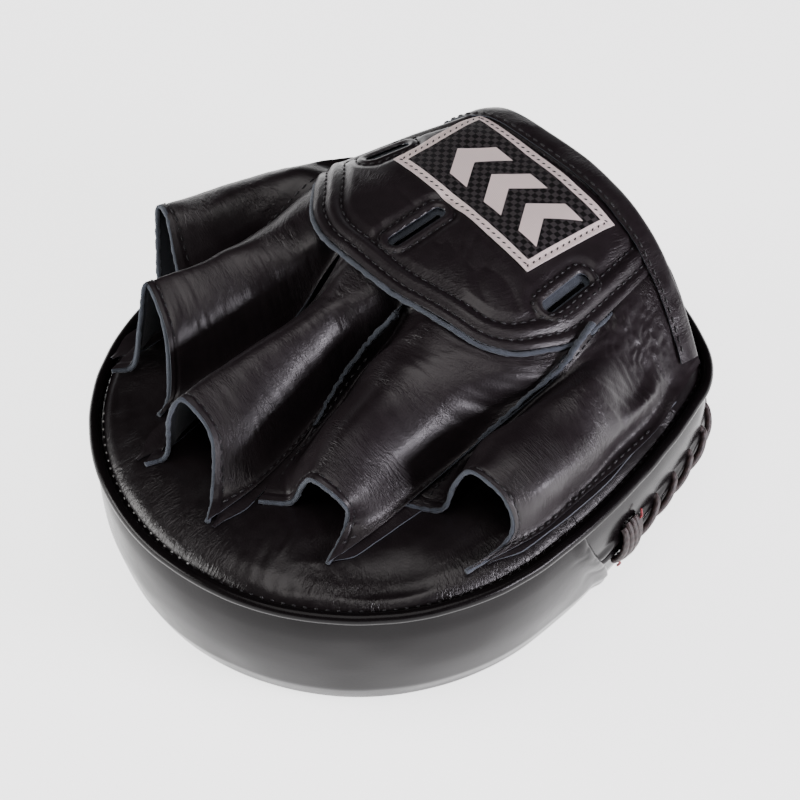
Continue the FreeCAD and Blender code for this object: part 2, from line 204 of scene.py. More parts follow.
def face_towards(piece, inside):
    """Turns the faces so that they look away from a point or points inside the mitt, in millimetres."""
    count = len(piece.data.polygons)
    centres, normals = np.empty(count * 3, np.float32), np.empty(count * 3, np.float32)
    piece.data.polygons.foreach_get("center", centres)
    piece.data.polygons.foreach_get("normal", normals)
    outward = centres.reshape(-1, 3) / MM - np.asarray(inside, float)
    if (outward * normals.reshape(-1, 3)).sum() < 0:
        in_edit_mode(piece, bpy.ops.mesh.flip_normals)


def sheet_piece(name, columns, rows, shape, size, inside, merge=False):
    """A grid bent into a shape: shape(along, across) gives points in millimetres, for shares from 0 to 1."""
    bpy.ops.object.select_all(action="DESELECT")
    bpy.ops.mesh.primitive_grid_add(x_subdivisions=columns, y_subdivisions=rows, size=2)
    piece = bpy.context.object
    piece.name = piece.data.name = name
    corners = np.empty(len(piece.data.uv_layers[0].data) * 2, np.float32)
    piece.data.uv_layers[0].data.foreach_get("uv", corners)
    scaled = corners.reshape(-1, 2) * np.array(size) * MM
    piece.data.uv_layers[0].data.foreach_set("uv", scaled.astype(np.float32).ravel())
    flat = coordinates(piece) * MM
    move_points(piece, shape((flat[:, 0] + 1) / 2, (flat[:, 1] + 1) / 2))
    if merge:
        in_edit_mode(piece, lambda: bpy.ops.mesh.remove_doubles(threshold=0.02 * MM))
    face_towards(piece, inside)
    return piece


def apply_modifier(piece, kind, **settings):
    select_only(piece)
    modifier = piece.modifiers.new(kind.lower(), kind)
    for key, value in settings.items():
        setattr(modifier, key, value)
    bpy.ops.object.modifier_apply(modifier=modifier.name)


def thicken(piece, thickness, materials, even=True):
    """Gives a sheet its thickness, inwards. Materials are for the grain side, the flesh side and the cut edge."""
    for material in materials:
        piece.data.materials.append(material)
    flesh = min(1, len(materials) - 1)
    edge = len(materials) - 1
    apply_modifier(
        piece, "SOLIDIFY", thickness=thickness * MM, offset=-1, use_even_offset=even,
        thickness_clamp=1.5, material_offset=flesh, material_offset_rim=edge,
    )


def smooth(piece, angle=50):
    select_only(piece)
    bpy.ops.object.shade_smooth_by_angle(angle=math.radians(angle))


def paint_creases(piece, amount):
    """Stores how creased the leather is, from 0 to 1, for the material to read."""
    points = coordinates(piece)
    values = np.clip(amount(points), 0, 1) * np.ones(len(points))
    attribute = piece.data.attributes.new("crease", "FLOAT", "POINT")
    attribute.data.foreach_set("value", values.astype(np.float32))


def sew_to_pad(piece, slot, *nodes, creases=None, angle=None):
    """A piece's last step on the pad: its creases and shading, the nodes it stands for, its body. The slot argument
    is not used.
    """
    if creases:
        paint_creases(piece, creases)
    if angle:
        smooth(piece, angle)
    if nodes:
        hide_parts(*nodes)
    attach(piece, "pad")
    print(piece.name, len(piece.data.polygons), "faces")


# %% [markdown]
# Three small functions describe soft leather. A spline runs smoothly through given sections,
# as a tailor's curve does. Smooth noise gives the slow hollows that no two sleeves share.
# Puckers are the narrow creases with round ridges between them that a bend leaves in a hide.


# %% Curves and creases
def spline_weights(count, share):
    """The four keys and weights of a Catmull-Rom spline at a share from 0 to 1."""
    place = np.clip(share, 0, 1) * (count - 1)
    first = np.clip(np.floor(place).astype(int), 0, count - 2)
    t = place - first
    weights = np.stack([
        -0.5 * t + t**2 - 0.5 * t**3,
        1 - 2.5 * t**2 + 1.5 * t**3,
        0.5 * t + 2 * t**2 - 1.5 * t**3,
        -0.5 * t**2 + 0.5 * t**3,
    ], -1)
    return np.stack([first + k for k in range(4)], -1), weights


def padded_keys(keys):
    """The keys with one more at each end, so that the spline runs straight out."""
    return np.concatenate([2 * keys[:1] - keys[1:2], keys, 2 * keys[-1:] - keys[-2:-1]])


def spline(keys, share):
    keys = np.asarray(keys, float)
    index, weights = spline_weights(len(keys), np.asarray(share, float))
    return np.einsum("nk,nkd->nd", weights, padded_keys(keys.reshape(len(keys), -1))[index])


def curve(places, values, at):
    """A smooth curve through single values at places, for any places in between."""
    share = np.interp(at, places, np.linspace(0, 1, len(places)))
    return spline(np.asarray(values, float)[:, None], share)[:, 0]


def loft(sections):
    """A smooth surface through sections of the same number of points: along is from section to section."""
    grid = np.asarray(sections, float)
    rows = padded_keys(grid)
    full = np.swapaxes(padded_keys(np.swapaxes(rows, 0, 1)), 0, 1)

    def surface(along, across):
        i, wi = spline_weights(grid.shape[0], along)
        j, wj = spline_weights(grid.shape[1], across)
        return np.einsum("na,nb,nabd->nd", wi, wj, full[i[:, :, None], j[:, None, :]])

    return surface


def soft_noise(x, y=0.0, seed=0.0):
    """Smooth noise from -1 to 1 over a plane, or along a line with y left out. It is the same in every run."""
    x0, y0 = np.floor(x), np.floor(y)
    fx, fy = x - x0, y - y0
    fx, fy = fx * fx * (3 - 2 * fx), fy * fy * (3 - 2 * fy)

    def corner(i, j):
        value = np.sin((x0 + i) * 12.9898 + (y0 + j) * 78.233 + seed * 37.719) * 43758.5453
        return 2 * (value - np.floor(value)) - 1

    low = corner(0, 0) * (1 - fx) + corner(1, 0) * fx
    high = corner(0, 1) * (1 - fx) + corner(1, 1) * fx
    return low * (1 - fy) + high * fy


def puckers(x, y, seed=0.0):
    """Creases: narrow valleys between round ridges, from 0 in a valley to 1 on a ridge."""
    bent = x + 0.35 * soft_noise(x * 0.7, y * 1.3, seed + 5)
    return np.abs(soft_noise(bent, y, seed)) ** 0.6


def step(low, high, value):
    """0 below low, 1 above high, and smooth in between."""
    t = np.clip((value - low) / (high - low), 0, 1)
    return t * t * (3 - 2 * t)


def hump(centre, width, value):
    """1 at the centre, falling to 0 at width either side."""
    t = np.clip(1 - ((value - centre) / width) ** 2, 0, 1)
    return t * t


def with_relief(surface, relief, tiny=0.002):
    """The surface moved out along its own normal by relief(along, across, points), in millimetres."""
    def shape(along, across):
        here = surface(along, across)
        a = surface(np.clip(along + tiny, 0, 1), across) - surface(np.clip(along - tiny, 0, 1), across)
        b = surface(along, np.clip(across + tiny, 0, 1)) - surface(along, np.clip(across - tiny, 0, 1))
        normal = np.cross(a, b)
        normal /= np.maximum(np.linalg.norm(normal, axis=1, keepdims=True), 1e-9)
        return here + normal * relief(along, across, here)[:, None]

    return shape


# %% [markdown]
# ## Materials
# The hide is nearly black, with a low sheen. Its grain is a mix of small cells and fine noise in the
# piece's own space, and its finer creases run along the UV map, stronger where the piece says so.
# The cut edge and the flesh side are the same hide without its finish: a matte, blue-grey nap.


# %% Node helpers
def new_material(name):
    material = bpy.data.materials.new(name)
    material.use_nodes = True
    return material, material.node_tree, material.node_tree.nodes["Principled BSDF"]


def add_node(tree, kind, links=(), **settings):
    """A node with its properties set, and its inputs linked or given values by name."""
    node = tree.nodes.new(kind)
    for key, value in settings.items():
        setattr(node, key, value)
    for key, value in dict(links).items():
        if isinstance(value, bpy.types.NodeSocket):
            tree.links.new(value, node.inputs[key])
        else:
            node.inputs[key].default_value = value
    return node


def maths(tree, operation, *values):
    return add_node(tree, "ShaderNodeMath", dict(enumerate(values)), operation=operation).outputs[0]


def times(tree, first, second):
    return maths(tree, "MULTIPLY", first, second)


def plus(tree, first, second):
    return maths(tree, "ADD", first, second)


def minus(tree, first, second):
    return maths(tree, "SUBTRACT", first, second)


def mix_colour(tree, share, first, second):
    node = add_node(tree, "ShaderNodeMix", {0: share, 6: first, 7: second}, data_type="RGBA")
    return node.outputs[2]


def noise_value(tree, vector, scale, detail=2.0, roughness=0.5):
    inputs = {"Vector": vector, "Scale": scale, "Detail": detail, "Roughness": roughness}
    return add_node(tree, "ShaderNodeTexNoise", inputs).outputs["Fac"]


def object_space(tree):
    return add_node(tree, "ShaderNodeTexCoord").outputs["Object"]


def uv_space(tree, stretch=(1, 1, 1)):
    coordinate = add_node(tree, "ShaderNodeTexCoord").outputs["UV"]
    return add_node(tree, "ShaderNodeMapping", {"Vector": coordinate, "Scale": stretch}).outputs["Vector"]


def colour_between(tree, shader, share, dark, light):
    """The base colour goes from dark to light with a share."""
    tree.links.new(mix_colour(tree, share, (*dark, 1), (*light, 1)), shader.inputs["Base Color"])


def bump(tree, height, distance, normal=None):
    inputs = {"Height": height, "Distance": distance, "Strength": 1.0}
    if normal is not None:
        inputs["Normal"] = normal
    return add_node(tree, "ShaderNodeBump", inputs).outputs["Normal"]


# %% Leather
def leather_material(name, dark, light, roughness, gloss, grain, cells, creases):
    """Black hide. Grain and creases are heights in millimetres, and cells is the pebbles' size."""
    material, tree, shader = new_material(name)
    place = object_space(tree)
    pebbles = add_node(
        tree, "ShaderNodeTexVoronoi", {"Vector": place, "Scale": 1000 / cells, "Randomness": 1.0},
        feature="SMOOTH_F1",
    ).outputs["Distance"]
    pores = noise_value(tree, place, 2600, 2)
    height = plus(tree, times(tree, pebbles, -0.9), times(tree, pores, 0.45))
    fine = bump(tree, height, grain * MM)
    along = noise_value(tree, uv_space(tree, (430, 120, 1)), 1.0, 4, 0.62)
    lines = maths(tree, "ABSOLUTE", minus(tree, along, 0.5))
    lines = maths(tree, "MINIMUM", times(tree, lines, 9.0), 1.0)
    patches = noise_value(tree, place, 55, 2)
    patches = times(tree, minus(tree, patches, 0.38), 3.2)
    amount = add_node(tree, "ShaderNodeAttribute", attribute_name="crease").outputs["Fac"]
    amount = times(tree, amount, maths(tree, "MAXIMUM", patches, 0.05))
    normal = bump(tree, times(tree, lines, amount), creases * MM, fine)
    slow = noise_value(tree, place, 38, 3)
    cloudy = noise_value(tree, place, 240, 3)
    share = times(tree, plus(tree, slow, cloudy), 0.5)
    colour_between(tree, shader, share, dark, light)
    rough = plus(tree, times(tree, cloudy, 0.14), roughness - 0.07)
    tree.links.new(rough, shader.inputs["Roughness"])
    shader.inputs["Specular IOR Level"].default_value = gloss
    tree.links.new(normal, shader.inputs["Normal"])
    return material


glove_leather = leather_material(
    "glove_leather", (0.0058, 0.0041, 0.0050), (0.0150, 0.0106, 0.0126), 0.36, 0.36, 0.045, 0.8, 0.26,
)
back_leather = leather_material(
    "back_leather", (0.0034, 0.0024, 0.0028), (0.0088, 0.0062, 0.0072), 0.32, 0.36, 0.035, 0.8, 0.20,
)
wall_leather = leather_material(
    "wall_leather", (0.0024, 0.0018, 0.0020), (0.0050, 0.0040, 0.0044), 0.22, 0.13, 0.018, 0.7, 0.05,
)


# %% Nap, thread, cord and foam
def matte_material(name, dark, light, scale, depth, sheen):
    material, tree, shader = new_material(name)
    place = object_space(tree)
    nap = noise_value(tree, place, scale, 4, 0.7)
    patches = noise_value(tree, place, scale / 9, 2)
    share = times(tree, plus(tree, nap, patches), 0.5)
    colour_between(tree, shader, share, dark, light)
    shader.inputs["Roughness"].default_value = 0.92
    shader.inputs["Sheen Weight"].default_value = sheen
    tree.links.new(bump(tree, nap, depth * MM), shader.inputs["Normal"])
    return material


def twisted_material(name, dark, light, pitch, depth, roughness):
    """Cord or thread: its plies wind round it along its UV map."""
    material, tree, shader = new_material(name)
    wave = add_node(
        tree, "ShaderNodeTexWave", {"Vector": uv_space(tree, (1, 0.6, 1)), "Scale": 314 / pitch, "Distortion": 0.4},
        bands_direction="DIAGONAL",
    ).outputs["Fac"]
    fibres = noise_value(tree, object_space(tree), 3200, 3)
    share = times(tree, plus(tree, wave, fibres), 0.5)
    colour_between(tree, shader, share, dark, light)
    shader.inputs["Roughness"].default_value = roughness
    tree.links.new(bump(tree, share, depth * MM), shader.inputs["Normal"])
    return material


suede = matte_material("suede", (0.0018, 0.0020, 0.0032), (0.0090, 0.0110, 0.0170), 1500, 0.12, 0.05)
raw_edge = matte_material("raw_edge", (0.007, 0.009, 0.013), (0.075, 0.088, 0.112), 1700, 0.35, 0.1)
thread = twisted_material("thread", (0.002, 0.002, 0.0025), (0.014, 0.012, 0.015), 0.9, 0.05, 0.45)
# A light grey thread: painted glints on the welt stitches of the front-left arc, where the dark thread catches the
# light.
glint_thread = twisted_material("glint_thread", (0.25, 0.25, 0.25), (0.62, 0.62, 0.60), 0.9, 0.05, 0.5)
red_thread = twisted_material("red_thread", (0.10, 0.003, 0.006), (0.24, 0.012, 0.020), 0.9, 0.05, 0.6)
lace_cord = twisted_material("lace_cord", (0.004, 0.002, 0.002), (0.030, 0.014, 0.013), 1.7, 0.22, 0.5)
foam = matte_material("foam", (0.020, 0.020, 0.022), (0.045, 0.045, 0.050), 900, 0.2, 0.0)
brown_foam = matte_material("brown_foam", (0.020, 0.009, 0.004), (0.060, 0.028, 0.012), 900, 0.2, 0.0)

# %% [markdown]
# ## The pad's outline
# Six tangent arcs go round the pad: a half-circle at the fingers, a long arc down each side, two corner
# arcs, and one arc across the heel. Walking along them gives each point its outward direction too,
# so a seam can be set in by any distance.

# %% Outline
FRONT_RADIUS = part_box("gusset_band")[1].y / MM + 1.0
SIDE_RADIUS = 300.0
CORNER_RADIUS = 34.0
HEEL_RADIUS = 140.0
HEEL_REACH = 132.0
SIDE_CENTRE = np.array([FRONT_RADIUS - SIDE_RADIUS, 0.0])
HEEL_CENTRE = np.array([0.0, HEEL_RADIUS - HEEL_REACH])
WALL_HEIGHTS = np.array([0.0, 0.065, 0.22, 0.51, 0.8, 1.0]) * SIDE_TOP
WALL_INSETS = np.array([12.0, 8.5, 5.0, 2.0, 1.0, 2.4])


def corner_centre():
    """Where the corner arc's centre is, so that it touches the side arc and the heel arc."""
    ra, rb = SIDE_RADIUS - CORNER_RADIUS, HEEL_RADIUS - CORNER_RADIUS
    gap = HEEL_CENTRE - SIDE_CENTRE
    apart = np.hypot(*gap)
    along = (ra**2 - rb**2 + apart**2) / (2 * apart)
    across = math.sqrt(ra**2 - along**2)
    unit = gap / apart
    return SIDE_CENTRE + unit * along + np.array([unit[1], -unit[0]]) * across


def outline_table(spacing=0.5):
    """Distance along the outline, points and outward directions, from the heel's middle by way of +X."""
    corner = corner_centre()
    side_turn = math.atan2(*(corner - SIDE_CENTRE)[::-1])
    heel_turn = math.atan2(*(corner - HEEL_CENTRE)[::-1])
    arcs = [
        (HEEL_CENTRE, HEEL_RADIUS, -math.pi / 2, heel_turn),
        (corner, CORNER_RADIUS, heel_turn, side_turn),
        (SIDE_CENTRE, SIDE_RADIUS, side_turn, 0.0),
        (np.zeros(2), FRONT_RADIUS, 0.0, math.pi / 2),
    ]
    points, out = [], []
    for centre, radius, start, end in arcs:
        count = int(radius * (end - start) / spacing) + 1
        turn = np.linspace(start, end, count, endpoint=False)
        ray = np.stack([np.cos(turn), np.sin(turn)], 1)
        points.append(centre + radius * ray)
        out.append(ray)
    points, out = np.concatenate(points), np.concatenate(out)
    flip = np.array([-1, 1])
    points = np.concatenate([points, [[0, FRONT_RADIUS]], points[:0:-1] * flip, points[:1]])
    out = np.concatenate([out, [[0, 1]], out[:0:-1] * flip, out[:1]])
    run = np.concatenate([[0], np.cumsum(np.hypot(*np.diff(points, axis=0).T))])
    return run, points, out


RIM_RUN, RIM_POINTS, RIM_OUT = outline_table()
RIM_LENGTH = RIM_RUN[-1]
print("outline", round(RIM_LENGTH), "mm round")


def rim_at(run, inset, z):
    """Points at a distance along the outline, set in and raised, and the outward directions there."""
    run = np.mod(run, RIM_LENGTH)
    flat = np.stack([np.interp(run, RIM_RUN, RIM_POINTS[:, k]) for k in (0, 1)], 1)
    out = np.stack([np.interp(run, RIM_RUN, RIM_OUT[:, k]) for k in (0, 1)], 1)
    place = np.column_stack([flat - out * np.reshape(inset, (-1, 1)), np.broadcast_to(z, run.shape)])
    return place, np.column_stack([out, np.zeros(len(out))])


def rim_run(y, left):
    """How far along the outline a side reaches a given Y. The heel's first few points are left out."""
    half, heel = len(RIM_RUN) // 2, 20
    side = slice(-1 - heel, half, -1) if left else slice(heel, half)
    return float(np.interp(y, RIM_POINTS[side, 1], RIM_RUN[side]))


def outline_distance(points, outline, batch=4000):
    """Distance from each point to the nearest point of an outline, seen from above, in batches to save memory."""
    found = np.empty(len(points))
    for start in range(0, len(points), batch):
        part = points[start:start + batch, None, :2] - outline[None]
        found[start:start + batch] = np.sqrt((part**2).sum(2)).min(1)
    return found


def rim_distance(points):
    """How far inside the pad's outline each point lies."""
    return outline_distance(points, RIM_POINTS[::3])


# %% [markdown]
# ## Side wall
# The wall is one long band round the fingers and two laced bands round the heel. Leather pulled over
# foam bulges just under the welt and rolls in to the striking face, so the section is a smooth curve.
# The long band's end is folded under and lies over the heel bands.

# %% Side wall
SEAM_TOP_Y = -20.0
SEAM_FOOT_Y = -44.0
RIGHT_SEAM_Y = -20.0
LACE_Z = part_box("heel_band_lower")[1].z / MM
LACE_PITCH = 13.0
MITT_MIDDLE = (0.0, -20.0, 30.0)
LEFT_SEAM_TOP = rim_run(SEAM_TOP_Y, True)
LEFT_SEAM_FOOT = rim_run(SEAM_FOOT_Y, True)
RIGHT_SEAM = rim_run(RIGHT_SEAM_Y, False)


def wall_inset(z):
    return curve(WALL_HEIGHTS, WALL_INSETS, z)


def wall_point(run, z, proud=0.0):
    """A point of the side wall, standing proud of its face."""
    slow = 0.5 * soft_noise(run / 42, z / 30, 3) + 0.22 * soft_noise(run / 15, z / 12, 4)
    fade = step(0, 8, z) * step(0, 6, SIDE_TOP - z)
    place, _ = rim_at(run, wall_inset(z) - proud - slow * fade, z)
    return place


def seam_run(z):
    """The folded seam leans towards the heel and bows a little."""
    h = z / SIDE_TOP
    return LEFT_SEAM_FOOT + (LEFT_SEAM_TOP - LEFT_SEAM_FOOT) * h + 1.5 * np.sin(h * 6.0)


def long_band(along, across):
    z = across * SIDE_TOP
    end = seam_run(z)
    run = RIGHT_SEAM + (end - RIGHT_SEAM) * along
    near = np.minimum(end - run, run - RIGHT_SEAM)
    proud = 1.5 * step(9, 3.0, near) - 1.7 * step(1.6, 0.0, near)
    pull = 0.45 * hump(0, 16, near) * (puckers(z / 5.0, near / 9.0, 8) - 0.6)
    return wall_point(run, z, proud + pull * step(4, 12, z))


def heel_band(low, high):
    def shape(along, across):
        z = low + (high - low) * across
        start = seam_run(z) - 8
        run = start + (RIM_LENGTH + RIGHT_SEAM + 6 - start) * along
        edge = np.abs(z - LACE_Z)
        tug = 0.5 + 0.5 * np.cos(2 * math.pi * (run - LEFT_SEAM_FOOT) / LACE_PITCH)
        lip = 1.3 * hump(3.2, 3.6, edge) - 1.2 * step(1.8, 0, edge)
        tucked = step(0, 9, run - start) * step(0, 7, RIM_LENGTH + RIGHT_SEAM + 6 - run)
        place = wall_point(run, z - np.sign(z - LACE_Z) * 0.9 * tug * step(3, 0, edge), lip * tucked)
        return place - (1 - tucked)[:, None] * 0.9 * rim_at(run, 0, 0)[1]

    return shape


gusset = sheet_piece("side_wall_front", 420, 56, long_band, (500, 60), MITT_MIDDLE)
thicken(gusset, LEATHER, [wall_leather, suede, wall_leather])
upper = sheet_piece("side_wall_heel_upper", 330, 26, heel_band(LACE_Z, SIDE_TOP), (300, 27), MITT_MIDDLE)
thicken(upper, LEATHER, [wall_leather, suede, raw_edge])
lower = sheet_piece("side_wall_heel_lower", 330, 26, heel_band(0.0, LACE_Z), (300, 28), MITT_MIDDLE)
thicken(lower, LEATHER, [wall_leather, suede, raw_edge])
for piece, node in ((gusset, "gusset_band"), (upper, "heel_band_upper"), (lower, "heel_band_lower")):
    sew_to_pad(
        piece, "wall_leather", node, creases=lambda p: 0.12 + 0.5 * step(SIDE_TOP - 9, SIDE_TOP, p[:, 2]), angle=50,
    )


# %% [markdown]
# ## Striking face
# A flat disc of leather, slightly crowned at its edge where it turns up into the wall seam.
# A grid squeezed into a disc keeps its squares nearly square, which a fan of triangles would not.


# %% Striking face
def disc_shares(along, across):
    """Turns a square's shares into a disc's: share of the radius, and direction."""
    u, v = 2 * along - 1, 2 * across - 1
    x, y = u * np.sqrt(1 - v * v / 2), v * np.sqrt(1 - u * u / 2)
    return np.minimum(np.hypot(x, y), 1), np.arctan2(y, x)


PAD_CENTRE = np.array([0.0, -18.0])
RIM_TURN = np.unwrap(np.arctan2(*(RIM_POINTS - PAD_CENTRE).T[::-1]))


def pad_flat(along, across, inset):
    """Points spread over the whole pad, inside the outline by inset."""
    share, turn = disc_shares(along, across)
    turn = RIM_TURN[0] + np.mod(turn - RIM_TURN[0], 2 * math.pi)
    run = np.interp(turn, RIM_TURN, RIM_RUN)
    edge, _ = rim_at(run, inset, 0.0)
    return PAD_CENTRE + (edge[:, :2] - PAD_CENTRE) * share[:, None]


def strike_shape(along, across):
    flat = pad_flat(along, across, WALL_INSETS[0] - 0.3)
    inside = rim_distance(flat) - WALL_INSETS[0]
    lift = 0.9 * step(5, 0, inside) + 0.12 * (1 + soft_noise(flat[:, 0] / 30, flat[:, 1] / 30, 11))
    return np.column_stack([flat, lift])


strike = sheet_piece("striking_leather", 110, 110, strike_shape, (200, 240), (0, -25, 60))
thicken(strike, LEATHER, [wall_leather, suede, raw_edge])
sew_to_pad(strike, "face_leather", "strike_face", creases=lambda p: 0.15, angle=50)
print("strike face down to", round(coordinates(strike)[:, 2].min(), 2), "mm")


# %% [markdown]
# ## Tubes
# The welt, the lace and the thread ends are tubes. One helper bends a sheet round a line of points,
# carrying its cross direction from point to point so that it never twists.


# %% Tubes
NEARLY_UP = (0.03, 0.02, 1.0)


def tube_piece(name, line, radius, around=10, closed=False, flat=1.0, material=None):
    """A tube along a line of points in millimetres. flat under 1 squashes its height."""
    line = np.asarray(line, float)
    ends = np.roll(line, -1, 0) - np.roll(line, 1, 0) if closed else np.gradient(line, axis=0)
    tangent = ends / np.linalg.norm(ends, axis=1, keepdims=True)
    side = np.empty_like(line)
    last = np.cross(tangent[0], NEARLY_UP)
    for k, t in enumerate(tangent):
        last = last - t * (last @ t)
        last = last / np.linalg.norm(last)
        side[k] = last
    rise = np.cross(side, tangent)
    count = len(line)
    radii = np.broadcast_to(radius, count).astype(float)

    def shape(along, across):
        k = np.rint(along * (count if closed else count - 1)).astype(int) % count
        turn = 2 * math.pi * across
        arm = side[k] * np.cos(turn)[:, None] + rise[k] * (flat * np.sin(turn))[:, None]
        return line[k] + arm * radii[k][:, None]

    length = np.linalg.norm(np.diff(line, axis=0), axis=1).sum()
    columns = count if closed else count - 1
    size = (length, 2 * math.pi * float(np.mean(radii)))
    piece = sheet_piece(name, columns, around, shape, size, line.mean(0), merge=True)
    if not closed:
        in_edit_mode(
            piece,
            lambda: bpy.ops.mesh.select_all(action="DESELECT"),
            lambda: bpy.ops.mesh.select_non_manifold(extend=False),
            bpy.ops.mesh.edge_face_add,
        )
    in_edit_mode(piece, lambda: bpy.ops.mesh.normals_make_consistent(inside=False))
    piece.data.materials.append(material)
    smooth(piece)
    return piece


def join_pieces(pieces, name):
    bpy.ops.object.select_all(action="DESELECT")
    for piece in pieces:
        piece.select_set(True)
    bpy.context.view_layer.objects.active = pieces[0]
    bpy.ops.object.join()
    joined = bpy.context.object
    joined.name = joined.data.name = name
    return joined


# %% Welt
WELT_RADIUS = 2.3
WELT_INSET = 1.0
WELT_Z = SIDE_TOP + WELT_RADIUS + 0.3
welt_run = np.linspace(0, RIM_LENGTH, 720, endpoint=False)
welt_line, _ = rim_at(welt_run, WELT_INSET + 0.15 * soft_noise(welt_run / 9, seed=21), WELT_Z)
welt_line[:, 2] += 0.25 * soft_noise(welt_run / 23, seed=22)
welt = tube_piece("welt", welt_line, WELT_RADIUS, 16, closed=True, material=wall_leather)
sew_to_pad(
    welt, "wall_leather", "welt_cover", creases=lambda p: 0.35 + 0.35 * soft_noise(p[:, 0] / 25, p[:, 1] / 25, 23),
)

# %% [markdown]
# ## Padded back
# The back leather is drawn tight at the welt and swells inside it. It is the softest part of the pad,
# so it is simulated: a slightly smaller cushion, held where the glove's seams are sewn down and at the
# welt, swells under pressure. Creases from the welt and from the seams are pressed in afterwards.

# %% Padded back
BACK_EDGE_INSET = 3.5
SEAM_LINES = (
    ((-76, -82), (-86, -30), (-87, 22)),
    ((-48, -14), (-48, 24), (-47, 62)),
    ((12, -10), (4, 26), (-7, 79)),
    ((40, -8), (40, 26), (36, 77)),
    ((77, -20), (79, 6), (80, 50)),
)


def line_distance(points, line):
    """Distance from each point to a line of straight runs, seen from above."""
    best = np.full(len(points), 1e9)
    for a, b in zip(np.asarray(line[:-1], float), np.asarray(line[1:], float)):
        ray = b - a
        t = np.clip((points[:, :2] - a) @ ray / (ray @ ray), 0, 1)
        best = np.minimum(best, np.linalg.norm(points[:, :2] - a - t[:, None] * ray, axis=1))
    return best


def seam_distance(points):
    return np.min([line_distance(points, line) for line in SEAM_LINES], axis=0)


BACK_INSIDE = (3.0, 4.2, 7.2, 12.5, 22.0, 45.0, 120.0)
BACK_HEIGHT = (55.6, 57.8, 60.4, 62.6, 63.5, 63.2, 62.8)


def back_level(inside):
    """Height of the back leather by distance from the outline: a steep rise, a round shoulder, a flat."""
    return curve(BACK_INSIDE, BACK_HEIGHT, inside)


def back_shape(along, across):
    flat = pad_flat(along, across, BACK_EDGE_INSET)
    return np.column_stack([flat, back_level(rim_distance(flat))])


def swell(piece, pinned, free, frames=14, pressure=3.0, growth=-0.008, cap=2.6, ironing=12):
    """Cloth simulation: the sheet grows a little and swells by at most cap. Its small wrinkles are ironed out."""
    start = coordinates(piece)
    group = piece.vertex_groups.new(name="pinned")
    for index in np.nonzero(pinned(start) > 0)[0]:
        group.add([int(index)], 1.0, "REPLACE")
    select_only(piece)
    cloth = piece.modifiers.new("cloth", "CLOTH")
    for setting, value in (
        ("vertex_group_mass", "pinned"), ("quality", 6), ("mass", 0.35), ("shrink_min", growth),
        ("tension_stiffness", 25), ("compression_stiffness", 25), ("bending_stiffness", 1.2),
        ("use_pressure", True), ("uniform_pressure_force", pressure),
    ):
        setattr(cloth.settings, setting, value)
    cloth.settings.effector_weights.gravity = 0
    cloth.collision_settings.use_collision = False
    cloth.point_cache.frame_end = frames
    for number in range(1, frames + 1):
        bpy.context.scene.frame_set(number)
    bpy.ops.object.modifier_apply(modifier=cloth.name)
    bpy.context.scene.frame_set(1)
    moved = coordinates(piece) - start
    far = np.linalg.norm(moved, axis=1, keepdims=True)
    moved = moved * np.minimum(1, cap / np.maximum(far, 1e-9))
    side = math.isqrt(len(moved))
    field = moved.reshape(side, side, 3)
    for _ in range(ironing):
        wide = np.pad(field, ((1, 1), (1, 1), (0, 0)), mode="edge")
        field = (wide[:-2, 1:-1] + wide[2:, 1:-1] + wide[1:-1, :-2] + wide[1:-1, 2:]) / 4
    move_points(piece, start + field.reshape(-1, 3) * free(start)[:, None])
    print(piece.name, "swelled by up to", round(float(far.max()), 2), "mm")


def back_pins(points):
    at_rim = rim_distance(points) < BACK_EDGE_INSET + 1.0
    return np.where(at_rim | (seam_distance(points) < 2.0), 1.0, 0.0)


def turn_about_pad(points):
    return np.arctan2(points[:, 1] - PAD_CENTRE[1], points[:, 0] - PAD_CENTRE[0])


def press_creases(piece):
    """Radial creases inside the welt, and crumples round the ends of the seams."""
    points = coordinates(piece)
    inside = rim_distance(points)
    turn = turn_about_pad(points)
    front = step(-30, 40, points[:, 1])
    radial = puckers(turn * 34, inside / 16, 31) - 0.62
    depth = 0.42 * hump(12, 13, inside) * (0.25 + 0.75 * front)
    depth = depth * (0.55 + 0.45 * soft_noise(turn * 5, seed=32))
    tips = np.exp(-((points[:, 1] - 70) / 20) ** 2) * np.exp(-((points[:, 0] + 20) / 30) ** 2)
    lines = (points[:, 0] * 0.86 + points[:, 1] * 0.5) / 3.2
    crumple = puckers(lines + 0.5 * soft_noise(points[:, 0] / 12, points[:, 1] / 12, 33), points[:, 1] / 21, 34) - 0.6
    near = step(14, 3, seam_distance(points))
    gather = (puckers(points[:, 1] / 3.2, points[:, 0] / 14, 35) - 0.6) * near
    points[:, 2] += depth * radial + 0.5 * tips * crumple + 0.22 * gather * step(6, 14, inside)
    points[:, 2] += 0.3 * soft_noise(points[:, 0] / 26, points[:, 1] / 26, 36) * step(5, 15, inside)
    too_high = np.maximum(points[:, 2] - BACK_TOP - 0.4, 0)
    points[:, 2] -= too_high * step(16, 6, seam_distance(points))
    move_points(piece, points)


back = sheet_piece("back_cushion", 110, 110, back_shape, (190, 240), (0, -25, 0))
swell(back, back_pins, lambda p: step(BACK_EDGE_INSET + 0.5, BACK_EDGE_INSET + 6, rim_distance(p)))
apply_modifier(back, "SUBSURF", levels=1, render_levels=1)
press_creases(back)
thicken(back, LEATHER, [back_leather, suede, raw_edge])


def back_creases(points):
    inside = rim_distance(points)
    return 0.15 + 0.6 * hump(10, 16, inside) + 0.45 * step(18, 2, seam_distance(points))


